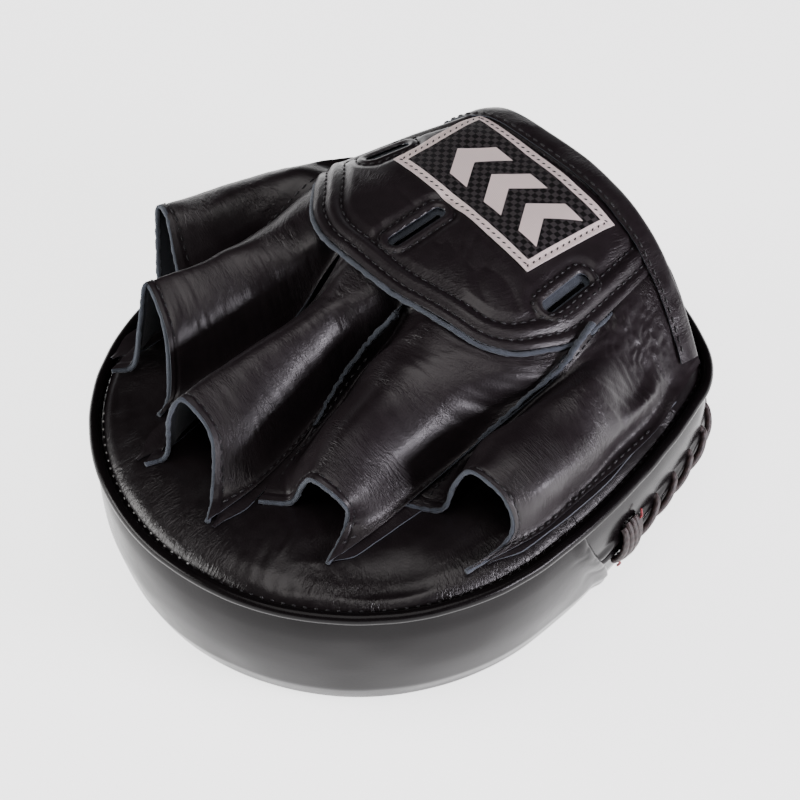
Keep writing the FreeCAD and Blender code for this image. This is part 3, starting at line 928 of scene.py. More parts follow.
def radial_uv(piece):
    """Lays the UV map in polar form, so that the material's creases point at the middle of the pad."""
    points = coordinates(piece)
    turn = turn_about_pad(points)
    corners = np.empty(len(piece.data.loops), np.int32)
    piece.data.loops.foreach_get("vertex_index", corners)
    polar = np.stack([turn * 90, np.hypot(points[:, 0], points[:, 1] + 25)], 1)[corners] * MM
    piece.data.uv_layers[0].data.foreach_set("uv", polar.astype(np.float32).ravel())


radial_uv(back)
sew_to_pad(back, "back_leather", "back_panel", "back_padding", creases=back_creases, angle=80)
print("padded back up to", round(coordinates(back)[:, 2].max(), 1), "mm")

# %% [markdown]
# ## Hand panel
# The panel that covers the back of the hand is an arch. Its height is the same rule as the frame's:
# four sections from knuckles to cuff, each a rounded curve from a flat-footed left side to a steeper
# right side. Everything on the panel, from the stitches to the label, is laid on this surface.

# %% The arch
COVER_SECTIONS = (
    (-16.0, 17.0, 103.0, 75.0, 38.0, 2.8, 5.0),
    (-60.0, 17.0, 102.0, 73.0, 40.5, 2.6, 4.5),
    (-100.0, 17.0, 90.0, 57.0, 39.5, 2.6, 5.0),
    (-140.0, 17.0, 82.0, 45.0, 36.0, 2.5, 5.0),
)
CUFF_FOOT_Y = -103.0
CUFF_LEAN = 0.5


def arch_height(x, y):
    """Height of the hand cover's face above any point under it."""
    keys = np.array(COVER_SECTIONS)[::-1]
    values = np.stack([np.interp(y, keys[:, 0], keys[:, k]) for k in range(1, 7)])
    crown, left, right, height, round_left, round_right = values
    reach = np.where(x < crown, left, right)
    power = np.where(x < crown, round_left, round_right)
    share = np.clip(np.abs(x - crown) / reach, 0, 1)
    return COVER_Z + height * (1 - share**power)


def cuff_y(x, y):
    """The Y that the leaning cuff edge has at the cover's height over a point."""
    return CUFF_FOOT_Y - CUFF_LEAN * (arch_height(x, y) - COVER_Z)


def arch_point(x, y, proud=0.0):
    """A point of the arch, standing proud along its normal."""
    x, y = np.asarray(x, float), np.asarray(y, float)
    z = arch_height(x, y)
    slope_x = (arch_height(x + 0.5, y) - arch_height(x - 0.5, y)).clip(-3, 3)
    slope_y = arch_height(x, y + 0.5) - arch_height(x, y - 0.5)
    normal = np.stack([-slope_x, -slope_y, np.ones_like(x)], -1)
    normal /= np.linalg.norm(normal, axis=-1, keepdims=True)
    return np.stack([x, y, z], -1) + normal * np.reshape(proud, (-1, 1))


# %% Panel outline
PANEL_END_Y = -122.0
PANEL_PLAN = (
    (-43.5, PANEL_END_Y, 2.0),
    (-52.0, -60.0, 30.0),
    (-40.0, -30.0, 26.0),
    (5.0, -22.0, 60.0),
    (50.0, -24.0, 34.0),
    (86.0, -62.0, 14.0),
    (55.2, PANEL_END_Y, 2.0),
)


def rounded_outline(corners, spacing=0.6):
    """Dense points along a closed outline whose corners are rounded by arcs."""
    points = []
    for i, (x, y, radius) in enumerate(corners):
        here = np.array([x, y])
        a = np.array(corners[i - 1][:2]) - here
        b = np.array(corners[(i + 1) % len(corners)][:2]) - here
        half = math.acos(np.clip(a @ b / np.linalg.norm(a) / np.linalg.norm(b), -1, 1)) / 2
        reach = min(radius / math.tan(half), 0.45 * min(np.linalg.norm(a), np.linalg.norm(b)))
        radius = reach * math.tan(half)
        a, b = a / np.linalg.norm(a), b / np.linalg.norm(b)
        middle = (a + b) / np.linalg.norm(a + b)
        centre = here + middle * radius / math.sin(half)
        start, end = here + a * reach - centre, here + b * reach - centre
        sweep = math.pi - 2 * half
        for t in np.linspace(0, 1, max(4, int(radius * sweep / spacing))):
            ray = start * math.sin((1 - t) * sweep) + end * math.sin(t * sweep)
            points.append(centre + ray / math.sin(sweep))
    points = np.array(points + points[:1])
    run = np.concatenate([[0], np.cumsum(np.hypot(*np.diff(points, axis=0).T))])
    even = np.arange(0, run[-1], spacing)
    return np.stack([np.interp(even, run, points[:, k]) for k in (0, 1)], 1)


def outline_inset(outline, inset):
    """The outline moved inwards, for seams that follow an edge."""
    along = np.roll(outline, -1, 0) - np.roll(outline, 1, 0)
    along /= np.linalg.norm(along, axis=1, keepdims=True)
    normal = np.stack([-along[:, 1], along[:, 0]], 1)
    if ((outline.mean(0) - outline) * normal).sum() < 0:
        normal = -normal
    return outline + normal * inset


PANEL_EDGE = rounded_outline(PANEL_PLAN)
PANEL_CENTRE = np.array([17.0, -74.0])
VENTS = ((21.0, -50.0, 26.0, -4.0), (-36.0, -70.0, 24.0, 4.0), (60.8, -73.8, 18.0, -14.0))
VENT_WIDTH = 5.4
VENT_BORDER = 3.6
BORDER_SEAMS = (4.0, 10.5)


def vent_line(x, y, length, turn):
    """The two ends of the straight line down the middle of a vent."""
    half = (length - VENT_WIDTH) / 2
    ray = np.array([-math.sin(math.radians(turn)), math.cos(math.radians(turn))]) * half
    return (np.array([x, y]) - ray, np.array([x, y]) + ray)


def vent_distance(points):
    """Distance from the edge of the nearest vent, negative inside it."""
    return np.min([line_distance(points, vent_line(*vent)) for vent in VENTS], axis=0) - VENT_WIDTH / 2


def ahead_of_cuff(points):
    """How far in front of the leaning cuff edge each point is."""
    return points[:, 1] - cuff_y(points[:, 0], points[:, 1])


def outline_radius(outline, centre, turn):
    """How far the outline is from a centre in each direction."""
    angles = np.unwrap(np.arctan2(outline[:, 1] - centre[1], outline[:, 0] - centre[0]))
    if angles[-1] < angles[0]:
        angles, outline = angles[::-1], outline[::-1]
    reach = np.hypot(outline[:, 0] - centre[0], outline[:, 1] - centre[1])
    angles, reach = np.append(angles, angles[0] + 2 * math.pi), np.append(reach, reach[0])
    return np.interp(angles[0] + np.mod(turn - angles[0], 2 * math.pi), angles, reach)


def panel_flat(along, across, inset=0.0):
    """Points spread over the panel's plan, with its wrist half squeezed up to the cuff edge."""
    share, turn = disc_shares(along, across)
    reach = (outline_radius(PANEL_EDGE, PANEL_CENTRE, turn) - inset) * share
    flat = PANEL_CENTRE + np.stack([np.cos(turn), np.sin(turn)], 1) * reach[:, None]
    middle = PANEL_CENTRE[1]
    limit = cuff_y(flat[:, 0], flat[:, 1]) + 0.6
    squeezed = middle + (flat[:, 1] - middle) * (middle - limit) / (middle - PANEL_END_Y)
    return np.stack([flat[:, 0], np.where(flat[:, 1] < middle, squeezed, flat[:, 1])], 1)


# %% Panel surface
def panel_relief(flat):
    """Raised ridges between the seams of the border, stitched rims round the vents, soft folds between."""
    edge = np.minimum(outline_distance(flat, PANEL_EDGE), 60)
    first, second = BORDER_SEAMS
    ridges = 0.9 * hump(first / 2, first / 2 + 0.4, edge) + 1.5 * hump((first + second) / 2, 3.6, edge)
    body = 1.3 * step(second, second + 4.5, edge)
    vents = vent_distance(flat)
    rim = 1.1 * hump(VENT_BORDER / 2, VENT_BORDER / 2 + 0.5, vents)
    dip = step(VENT_BORDER - 0.4, VENT_BORDER + 4, vents)
    folds = (puckers(flat[:, 1] / 9 + flat[:, 0] / 30, flat[:, 0] / 26, 41) - 0.5) * step(12, 20, edge)
    near_vent = hump(0, 26, line_distance(flat, ((-5, -38), (10, -60))))
    lines = (puckers((flat[:, 0] + flat[:, 1] * 0.6) / 4.2, flat[:, 1] / 14, 42) - 0.5) * near_vent
    slow = 0.5 * soft_noise(flat[:, 0] / 15, flat[:, 1] / 15, 43)
    return ridges + (body + 0.55 * folds + 0.6 * lines * step(11, 16, edge) + slow) * dip + rim


def panel_shape(along, across):
    flat = panel_flat(along, across)
    return arch_point(flat[:, 0], flat[:, 1], panel_relief(flat))


LINING_SLIT = 2.0
CUT_EDGE = 2  # the raw edge's place among a sheet's materials


def cut_vents(piece, width, vents=VENTS):
    """Cuts vents through a sheet: a boolean with a long round-ended cutter for each."""
    cutters = []
    for x, y, length, turn in vents:
        a, b = vent_line(x, y, length, turn)
        middle = np.append((a + b) / 2, 95.0)
        bpy.ops.object.select_all(action="DESELECT")
        bpy.ops.mesh.primitive_cylinder_add(vertices=40, radius=width / 2 * MM, depth=60 * MM)
        cutter = bpy.context.object
        points = coordinates(cutter)
        points[:, 1] += np.sign(points[:, 1].round(4)) * (length - VENT_WIDTH) / 2
        ray = math.radians(turn)
        cos, sin = math.cos(ray), math.sin(ray)
        turned = points @ np.array([[cos, sin, 0], [-sin, cos, 0], [0, 0, 1]])
        move_points(cutter, turned + middle)
        cutters.append(cutter)
    cutter = join_pieces(cutters, "vent_cutter")
    for material in (glove_leather, suede, raw_edge):
        cutter.data.materials.append(material)
    cutter.data.polygons.foreach_set("material_index", np.full(len(cutter.data.polygons), CUT_EDGE, np.int32))
    apply_modifier(piece, "BOOLEAN", operation="DIFFERENCE", object=cutter, solver="EXACT", material_mode="INDEX")
    bpy.data.objects.remove(cutter)


UNDER_GLOVE = (17.0, -70.0, 50.0)
panel = sheet_piece("hand_panel_leather", 170, 170, panel_shape, (135, 100), UNDER_GLOVE)
thicken(panel, LEATHER, [glove_leather, suede, raw_edge])
cut_vents(panel, VENT_WIDTH)


LINING_THICKNESS = 3.2


def lining_shape(along, across):
    flat = panel_flat(along, across, 2.0)
    under = 0.85 * panel_relief(flat) - LEATHER - 0.5
    return arch_point(flat[:, 0], flat[:, 1], under + 0.2 * soft_noise(flat[:, 0] / 8, flat[:, 1] / 8, 45))


lining = sheet_piece("panel_backing", 110, 110, lining_shape, (130, 96), UNDER_GLOVE)
thicken(lining, LINING_THICKNESS, [raw_edge, suede, brown_foam], even=False)
cut_vents(lining, LINING_SLIT, VENTS[:2])

# %% [markdown]
# ## Sleeves
# Each sleeve is a piece of hide arched over one finger. It is described by a few sections, as a tailor
# would mark them: from the flange on the little-finger side, over the top, to the flange on the thumb
# side. The first section hides under the hand panel, and in the last one the feet run on past the crown,
# so the opening leans. A height of None means just under the panel, and ON_ARCH on the arch itself.

# %% Sleeve sections
ON_ARCH = 0.0
MIDDLE = (
    ((38, -34, None), (35, -34, None), (29, -34, None), (20, -34, None),
     (11, -34, None), (6, -34, None), (3, -34, None)),
    ((39.5, -21, 83), (37, -20, 84), (30, -19, 95.5), (21, -18, 98), (12, -19, 95.5), (8, -19.5, 81), (6, -21, 88)),
    ((41, -10, 73), (38.5, -9, 68), (34, -7, 84), (24, -6, 93.5), (15, -7, 87), (10.5, -8, 69.5), (8.3, -8, 78)),
    ((43.5, 8, 66), (38.5, 8, 65.4), (36, 8, 80), (26, 9, 91.5), (15, 8, 84), (8.5, 7, 66.5), (6, 7, 71)),
    ((42, 28, 65), (37, 28, 65.4), (36, 28, 79), (28, 29, 90), (14, 28, 82), (4, 28, 66.5), (0.5, 28, 65.5)),
    ((40, 50, 65), (34.5, 51, 65.6), (35, 47, 79.5), (29.5, 45, 88.5), (13.5, 46, 81), (0.5, 52, 67), (-4, 54, 65)),
    ((32, 76.5, 64.8), (29.5, 69, 66), (31.5, 65, 81.5), (29, 59.5, 88.5),
     (14.5, 59, 79.5), (3.6, 69, 66.5), (-4, 79, 64.8)),
)
INDEX = (
    ((5, -35, None), (1, -36, None), (-13, -38, None), (-26, -42, None),
     (-35, -50, None), (-39, -63, None), (-42, -79, None)),
    ((4.6, -22, 88), (3.2, -21, 81), (-10, -20, 96), (-27, -23, 96.5),
     (-42, -33, 91.5), (-51, -48, 87), (-50, -66, 91)),
    ((7.2, -9, 78), (6.4, -8, 69), (-3, -7, 86), (-18, -7, 93.5), (-35, -12, 88), (-48, -27, 79), (-55, -45, 85.5)),
    ((5, 8, 71), (2, 8, 66.5), (-6, 8, 81), (-20, 9, 90), (-36, 7, 82), (-46, -3, 68), (-50, -15, 74)),
    ((0.5, 26, 65.5), (-3, 26, 66), (-10, 26, 79), (-23, 27, 88.5),
     (-37.5, 25, 80.5), (-45.5, 19, 67), (-49, 13, 68)),
    ((-4, 44, 65), (-9, 43, 66), (-15.5, 40, 78), (-26, 39, 87), (-40.5, 38, 80), (-45.5, 37, 67.5), (-49, 39, 65)),
    ((-9.6, 59.5, 64.8), (-18.5, 52.5, 65.8), (-22.8, 50.5, 77), (-29, 50.5, 84.5),
     (-42, 47.5, 79), (-41.5, 46.5, 67), (-48, 62, 64.8)),
)
RING = (
    ((73, -60, None), (70, -55, None), (64, -50, None), (56, -44, None),
     (47, -38, None), (41, -36, None), (38, -35, None)),
    ((80, -48, 80), (76, -44, 87.5), (69, -36, 95), (60, -27, 98.5), (48, -21, 96), (42, -20, 85), (40.5, -21, 86)),
    ((80, -26, 68), (76.5, -24, 73), (73, -18, 88), (63, -12, 96), (50, -9, 90), (43, -8, 70), (41.5, -9, 74)),
    ((80, -4, 65), (77, -3, 68), (76, -2, 84), (68, 0, 94), (54, 2, 86.5), (44.5, 4, 68), (42.5, 4, 67)),
    ((80.5, 14, 65), (77.5, 15, 67), (77.5, 13, 82.5), (71.5, 12, 93), (57, 15, 85), (47, 19, 67), (43, 19, 65)),
    ((79, 35, 65), (75.5, 33, 67), (78, 26, 82), (75.5, 22, 91.8), (60, 27, 84), (49.5, 35, 67), (45, 37, 65)),
    ((75, 54.5, 64.8), (71, 47.5, 66), (75, 40, 80), (80, 31, 90), (61.5, 38.5, 83.5), (50, 48, 67), (46, 57, 64.8)),
)
LITTLE = (
    ((77, -102, 64.8), (72.5, -103, 66), (70.5, -106, ON_ARCH), (69, -108, ON_ARCH),
     (67, -110, ON_ARCH), (64.5, -113, ON_ARCH), (58, -114, None)),
    ((82.5, -88, 64.8), (78.5, -88, 66), (77, -89, ON_ARCH), (75.5, -89.5, ON_ARCH),
     (73.5, -90, ON_ARCH), (71, -91, ON_ARCH), (64, -91, None)),
    ((86, -74, 64.8), (84.5, -73.5, 66.5), (84, -73, 72), (83, -72.5, 78),
     (81, -72, 84), (78, -71, ON_ARCH), (71, -69, None)),
    ((86, -57, 64.8), (89, -56, 66), (94, -53, 75), (94, -51, 83), (89.5, -49, 88.5), (83, -50, 90.5), (73, -51, 88)),
    ((88, -40, 64.8), (92, -39, 66), (101, -36, 76), (101, -31, 85), (93, -27, 88.5), (84, -28, 84), (76, -33, 77)),
    ((89, -22, 64.8), (93.5, -21, 66), (106.5, -19, 76), (107, -14, 85),
     (96, -11, 87.5), (86, -12, 78), (80, -15, 67)),
    ((92, 15, 64.8), (97, 11.5, 66), (105.5, 4, 75.5), (112, -3, 84), (104, -0.5, 86.5), (94, 5, 77), (86, 9, 66.5)),
)
THUMB = (
    ((-40, -117, None), (-46, -115, ON_ARCH), (-53, -112.5, ON_ARCH), (-60, -109.5, ON_ARCH),
     (-66, -106.5, ON_ARCH), (-71, -104, 66.5), (-74.5, -103, 65)),
    ((-42, -92, None), (-49, -91, ON_ARCH), (-57, -90, ON_ARCH), (-65, -89, ON_ARCH),
     (-72, -88, ON_ARCH), (-75.5, -87, 66.5), (-79.5, -87, 65)),
    ((-47, -76, None), (-55, -74, ON_ARCH), (-64, -72, ON_ARCH), (-72.5, -70, ON_ARCH),
     (-79, -69, 73), (-81.5, -68, 66.5), (-86, -67, 65)),
    ((-53, -58, 91), (-58, -54, 86), (-67, -50, 88.5), (-76, -48, 83),
     (-82.5, -47, 74.5), (-84, -46, 66.5), (-88.5, -45, 65)),
    ((-53, -36, 84), (-54, -33, 78), (-62, -30, 87.5), (-74.5, -29, 86),
     (-85.5, -28, 79), (-86.5, -27, 66.5), (-89.5, -26, 65)),
    ((-49, -18, 73), (-51, -17, 70), (-58, -16, 84), (-71.5, -16, 87.5),
     (-86, -16, 81), (-87.5, -15, 66.5), (-90.5, -14, 65)),
    ((-45, -2, 66), (-51, -3, 66), (-57, -4, 81), (-69, -4, 87), (-85.5, -4, 81.5), (-88, -2, 66.5), (-90.5, 2, 65)),
    ((-46.7, 23.6, 64.8), (-58.4, 16.7, 66), (-60.5, 12.5, 77.5), (-66, 8.8, 86),
     (-81, 6.6, 80.5), (-86, 8.5, 66.5), (-85, 30, 64.8)),
)


def settled(sections):
    """Fills in the heights that hide under the panel."""
    def height(x, y, z):
        if z is None or z == ON_ARCH:
            arch = float(arch_height(np.array([x]), np.array([y]))[0])
            return arch - (2.6 if z is None else 0.2)
        return z

    return [[(x, y, height(x, y, z)) for x, y, z in row] for row in sections]


# %% Sleeve relief
HEM = 4.2


def sleeve_relief(seed, length, knuckle, side_creases):
    """Slow hollows, creases across the finger near the knuckle, and the stitched hem at the tip."""
    def relief(along, across, points):
        free = step(0.0, 0.12, across) * step(0.0, 0.12, 1 - across)
        distance = along * length
        slow = 0.8 * soft_noise(distance / 24, across * 2.4, seed)
        slow = slow + 0.22 * soft_noise(distance / 9, across * 5, seed + 1)
        bend = puckers(distance / 4.4 + across * 1.5, across * 2.6, seed + 2) - 0.6
        fine = puckers(distance / 2.4, across * 5, seed + 3) - 0.6
        lines = knuckle * hump(0.22 * length, 0.30 * length, distance)
        flank = side_creases * hump(0.66, 0.24, across) * step(0.1, 0.3, along) * step(0.98, 0.8, along)
        to_tip = length - distance
        hem = 0.35 * step(HEM + 0.5, HEM - 0.6, to_tip) - 0.55 * hump(HEM, 1.2, to_tip)
        return free * (slow + lines * (0.34 * bend + 0.3 * fine) + flank * (0.3 * bend + 0.34 * fine)) + hem

    return relief


TIP_POINTS = 150
CRUMPLE = np.array([-58.0, -84.0])
PLEAT_CENTRE = np.array([-56.0, -44.0])


def thumb_relief(plain):
    """The thumb piece is also crumpled beside the panel, and pleated round the root of the thumb."""
    def relief(along, across, points):
        from_crumple = np.linalg.norm((points[:, :2] - CRUMPLE) / (15, 21), axis=1)
        cells = puckers(points[:, 0] / 1.9 + points[:, 1] / 6, points[:, 1] / 2.2, 95) - 0.5
        ray = points[:, :2] - PLEAT_CENTRE
        reach, turn = np.hypot(ray[:, 0], ray[:, 1]), np.arctan2(ray[:, 1], ray[:, 0])
        pleats = puckers(turn * 11, reach / 30, 96) - 0.55
        pleated = hump(17, 17, reach) * step(-20, -45, points[:, 1])
        held = step(0, 0.1, across) * step(0, 0.1, 1 - across)
        crumpled = 0.7 * cells * step(1.0, 0.5, from_crumple) + 0.5 * pleats * pleated
        return plain(along, across, points) + held * crumpled

    return relief


def sleeve_piece(name, sections, length, girth, seed, knuckle, side_creases):
    """One sleeve of hide, with its raw tip and flange edges, and the surface it was bent to."""
    surface = loft(settled(sections))
    relief = sleeve_relief(seed, length, knuckle, side_creases)
    shape = with_relief(surface, thumb_relief(relief) if sections is THUMB else relief)
    middle = np.mean([np.array(row[3][:2] + (60,), float) for row in sections], axis=0)
    piece = sheet_piece(f"{name}_leather", int(length), int(girth), shape, (length, girth), middle)
    thicken(piece, LEATHER, [glove_leather, suede, raw_edge], even=False)
    across = np.linspace(0.0, 1.0, TIP_POINTS)
    middle_of_cut = with_relief(surface, lambda *_: np.full(TIP_POINTS, -LEATHER / 2))
    tip = middle_of_cut(np.ones(TIP_POINTS), across)
    ragged = 0.92 * (1 + 0.2 * soft_noise(across * 70, seed=seed + 7))
    edge = tube_piece(f"{name}_tip", tip, ragged, 8, material=raw_edge)
    return join_pieces([piece, edge], f"{name}_leather"), surface


SLEEVES, SURFACES, LENGTHS = {}, {}, {}
for name, sections, length, girth, seed, knuckle, sides in (
    ("middle_sleeve", MIDDLE, 108, 96, 51.0, 0.75, 0.75),
    ("index_sleeve", INDEX, 106, 100, 61.0, 0.85, 0.35),
    ("ring_sleeve", RING, 104, 90, 71.0, 0.6, 0.9),
    ("little_sleeve", LITTLE, 118, 84, 81.0, 0.5, 0.5),
    ("thumb_sleeve", THUMB, 150, 84, 91.0, 0.7, 0.6),
):
    SLEEVES[name], SURFACES[name] = sleeve_piece(name, sections, length, girth, seed, knuckle, sides)
    LENGTHS[name] = length
    print(name, len(SLEEVES[name].data.polygons), "faces")


# %% [markdown]
# ## Cuff binding
# A folded strip of leather is sewn over the wrist edge of the cover. Its section is a long loop:
# flat inside, round over the edge, flat outside, with a stitched line near its free edge.


# %% Cuff binding
def cuff_edge(share):
    """Points along the cuff edge, from the thumb side's foot to the other, and its frame there."""
    x = curve([0, 0.12, 0.3, 0.55, 0.78, 0.9, 1.0], [-71.5, -58, -36, 5, 45, 63, 71], share)
    y = np.full_like(x, -118.0)
    for _ in range(12):
        y = 0.5 * y + 0.5 * cuff_y(x, y)
    return x, y


BINDING_WIDTH = 8.5
BINDING_LEATHER = 1.0


def binding_shape(along, across):
    x, y = cuff_edge(along)
    edge = arch_point(x, y, -0.4)
    ahead = arch_point(x, y + 4.0, -0.4)
    forward = (ahead - edge) / np.linalg.norm(ahead - edge, axis=1, keepdims=True)
    out = arch_point(x, y, 1.0) - arch_point(x, y, 0.0)
    loop = (across - 0.5) * 2
    turn = np.clip(loop / 0.22, -1, 1) * math.pi / 2
    reach = np.maximum(np.abs(loop) - 0.22, 0) / 0.78 * BINDING_WIDTH
    belly = 0.5 * np.sin(np.clip(reach / BINDING_WIDTH, 0, 1) * math.pi)
    crumple = 0.25 * soft_noise(along * 26, loop * 2, 101)
    height = 2.0 * np.sin(turn) + np.sign(loop) * (belly + crumple)
    return edge + forward * (reach - 2.0 * np.cos(turn) + 1.0)[:, None] + out * height[:, None]


binding = sheet_piece("cuff_strip", 200, 26, binding_shape, (200, 26), (17, -112, 82))
in_edit_mode(binding, lambda: bpy.ops.mesh.normals_make_consistent(inside=False))
thicken(binding, BINDING_LEATHER, [glove_leather, suede, raw_edge])

# %% [markdown]
# ## Label
# The woven label is a thin satin tag. Its pattern is painted by the material from the label's UV map:
# a pale border, a dark checkered field and three plain chevrons. That map runs from 0 to 1.

# %% Label
LABEL = (13.0, -87.0, 74.0, 43.0, -4.0)  # centre X and Y, width, length, turn in degrees
LABEL_BORDER = 3.8
LABEL_SEAM_INSET = 2.0
LABEL_CLOTH = 0.6
CHECK_SIZE = 2.1
CHEVRON_PITCH = 19.0
CHEVRON_HALF_HEIGHT = 11.5
CHEVRON_SLANT = 0.75
CHEVRONS_END = 26.0


def label_shape(along, across):
    x, y, width, length, turn = LABEL
    u, v = (along - 0.5) * width, (across - 0.5) * length
    a = math.radians(turn)
    px = x + u * math.cos(a) - v * math.sin(a)
    py = y + u * math.sin(a) + v * math.cos(a)
    flat = np.stack([px, py], 1)
    lift = panel_relief(flat) * 0.85 + 0.9 + 0.25 * (1 + soft_noise(u / 9, v / 9, 111))
    edge = np.minimum(width / 2 - np.abs(u), length / 2 - np.abs(v))
    return arch_point(px, py, lift - 0.35 * hump(LABEL_SEAM_INSET, 1.2, edge))


label = sheet_piece("label_tag", 110, 64, label_shape, (1000, 1000), UNDER_GLOVE)


def label_material():
    material, tree, shader = new_material("woven_label")
    width, length = LABEL[2], LABEL[3]
    split = add_node(tree, "ShaderNodeSeparateXYZ", {0: uv_space(tree)})
    u = times(tree, minus(tree, split.outputs[0], 0.5), width)
    v = times(tree, minus(tree, split.outputs[1], 0.5), length)
    far_u, far_v = maths(tree, "ABSOLUTE", u), maths(tree, "ABSOLUTE", v)
    ends = maths(tree, "GREATER_THAN", far_u, width / 2 - LABEL_BORDER)
    border = maths(tree, "MAXIMUM", ends, maths(tree, "GREATER_THAN", far_v, length / 2 - LABEL_BORDER))
    place = add_node(tree, "ShaderNodeCombineXYZ", {0: u, 1: v}).outputs[0]
    wave_u = maths(tree, "SINE", times(tree, u, math.pi / CHECK_SIZE))
    wave_v = maths(tree, "SINE", times(tree, v, math.pi / CHECK_SIZE))
    checks = maths(tree, "GREATER_THAN", times(tree, wave_u, wave_v), 0.0)
    slant = plus(tree, u, times(tree, far_v, CHEVRON_SLANT))
    bands = maths(tree, "DIVIDE", plus(tree, slant, 60.0), CHEVRON_PITCH)
    chevron = maths(tree, "LESS_THAN", maths(tree, "FRACT", bands), 0.5)
    chevron = times(tree, chevron, maths(tree, "LESS_THAN", far_v, CHEVRON_HALF_HEIGHT))
    near = maths(tree, "LESS_THAN", maths(tree, "ABSOLUTE", slant), CHEVRONS_END)
    chevron = times(tree, chevron, near)
    pale = maths(tree, "MAXIMUM", border, chevron)
    field = mix_colour(tree, checks, (0.0025, 0.0022, 0.0026, 1), (0.040, 0.035, 0.037, 1))
    weft, warp = (
        add_node(tree, "ShaderNodeTexWave", {"Vector": place, "Scale": scale}, bands_direction=way).outputs["Fac"]
        for scale, way in ((0.62, "X"), (0.55, "Y"))
    )
    weave = times(tree, plus(tree, weft, warp), 0.5)
    satin = mix_colour(tree, weave, (0.46, 0.37, 0.36, 1), (0.92, 0.78, 0.76, 1))
    tree.links.new(mix_colour(tree, pale, field, satin), shader.inputs["Base Color"])
    shader.inputs["Roughness"].default_value = 0.5
    shader.inputs["Specular IOR Level"].default_value = 0.15
    tree.links.new(bump(tree, weave, 0.10 * MM), shader.inputs["Normal"])
    return material


woven = label_material()
label_edge = matte_material("label_edge", (0.3, 0.26, 0.26), (0.5, 0.45, 0.45), 3000, 0.05, 0.3)
thicken(label, LABEL_CLOTH, [woven, label_edge, label_edge])

# %% [markdown]
# ## Stitches
# A stitch is a short, fat grain of thread lying in its own dimple. One is modelled, and a copy is laid
# at every few millimetres of a seam, turned along it, on whatever leather lies under it.

# %% Stitches
bpy.ops.object.select_all(action="DESELECT")
bpy.ops.mesh.primitive_uv_sphere_add(segments=7, ring_count=5, radius=1 * MM)
stitch_template = bpy.context.object
stitch_template.name = "stitch"
STITCH_POINTS = coordinates(stitch_template)
STRAY = 6  # a place further than this from the leather gets no stitch


def lay_stitches(name, target, line, pitch=3.8, length=2.7, width=0.85, height=0.9, material=thread, turned=0.0):
    """Copies of the stitch along a line of points in millimetres, pulled onto the target piece."""
    line = np.asarray(line, float)
    run = np.concatenate([[0], np.cumsum(np.linalg.norm(np.diff(line, axis=0), axis=1))])
    at = np.arange(pitch / 2, run[-1], pitch)
    places = np.stack([np.interp(at, run, line[:, k]) for k in range(3)], 1)
    ahead = np.stack([np.interp(at + 0.5, run, line[:, k]) for k in range(3)], 1)
    copies = []
    for place, after in zip(places, ahead):
        hit, spot, normal, _ = target.closest_point_on_mesh(Vector(place * MM))
        if not hit or (spot - Vector(place * MM)).length > STRAY * MM:
            continue
        along = Vector(after - place)
        along = (along - normal * along.dot(normal)).normalized()
        across = normal.cross(along)
        cos, sin = math.cos(turned), math.sin(turned)
        along, across = along * cos + across * sin, across * cos - along * sin
        copy = stitch_template.copy()
        copy.data = stitch_template.data.copy()
        bpy.context.collection.objects.link(copy)
        axes = np.array([along * length / 2, across * width / 2, normal * height / 2])
        move_points(copy, STITCH_POINTS @ axes + np.array(spot) / MM + np.array(normal) * height * 0.12)
        copies.append(copy)
    joined = join_pieces(copies, name)
    joined.data.materials.clear()
    joined.data.materials.append(material)
    select_only(joined)
    bpy.ops.object.shade_smooth()
    return joined


def on_arch(flat):
    """A flat line laid on the panel."""
    flat = np.asarray(flat)
    line = arch_point(flat[:, 0], flat[:, 1], panel_relief(flat) + 0.3)
    return line[ahead_of_cuff(line) > 5.0]


cover_rows = []
for number, inset in enumerate(BORDER_SEAMS):
    seam = outline_inset(PANEL_EDGE, inset)
    seam = np.roll(seam, -int(np.argmin(seam[:, 1] - seam[:, 0] * 0.01)), 0)
    cover_rows.append(lay_stitches(f"border_{number}", panel, on_arch(seam)))
for number, (x, y, length, turn) in enumerate(VENTS):
    a, b = vent_line(x, y, length, turn)
    straight = b - a
    side = np.array([straight[1], -straight[0]]) / np.linalg.norm(straight)
    radius = VENT_WIDTH / 2 + VENT_BORDER
    ray = straight / np.linalg.norm(straight)
    round_end = [radius * (side * math.cos(t) + ray * math.sin(t)) for t in np.linspace(0, math.pi, 16)]
    loop = np.array([b + arm for arm in round_end] + [a - arm for arm in round_end] + [b + round_end[0]])
    cover_rows.append(lay_stitches(f"vent_{number}", panel, on_arch(loop), pitch=3.3, length=2.2))

x, y, width, length, turn = LABEL
for number, (u0, v0, u1, v1) in enumerate((
    (-1, 1, 1, 1), (1, 1, 1, -1), (1, -1, -1, -1), (-1, -1, -1, 1),
)):
    shares = np.linspace(0, 1, 60)
    u = (u0 + (u1 - u0) * shares) * (0.5 - LABEL_SEAM_INSET / width) + 0.5
    v = (v0 + (v1 - v0) * shares) * (0.5 - LABEL_SEAM_INSET / length) + 0.5
    cover_rows.append(lay_stitches(
        f"label_{number}", label, label_shape(u, v), pitch=2.9, length=1.7, width=0.7, height=0.6, turned=0.6,
    ))
binding_line = binding_shape(np.linspace(0.02, 0.98, 260), np.full(260, 0.93))
cover_rows.append(lay_stitches("binding_row", binding, binding_line))
cover_stitching = join_pieces(cover_rows, "cover_stitching")


# %% Sleeve stitches
# The two outer sleeves carry the cover's side walls, so their stitches are kept apart from the pad's.
SIDE_WALLS = {"little_sleeve": "little_side_wall", "thumb_sleeve": "thumb_side_wall"}


def surface_line(surface, along, across, count=120):
    t = np.linspace(0, 1, count)
    return surface(along[0] + (along[1] - along[0]) * t, across[0] + (across[1] - across[0]) * t)


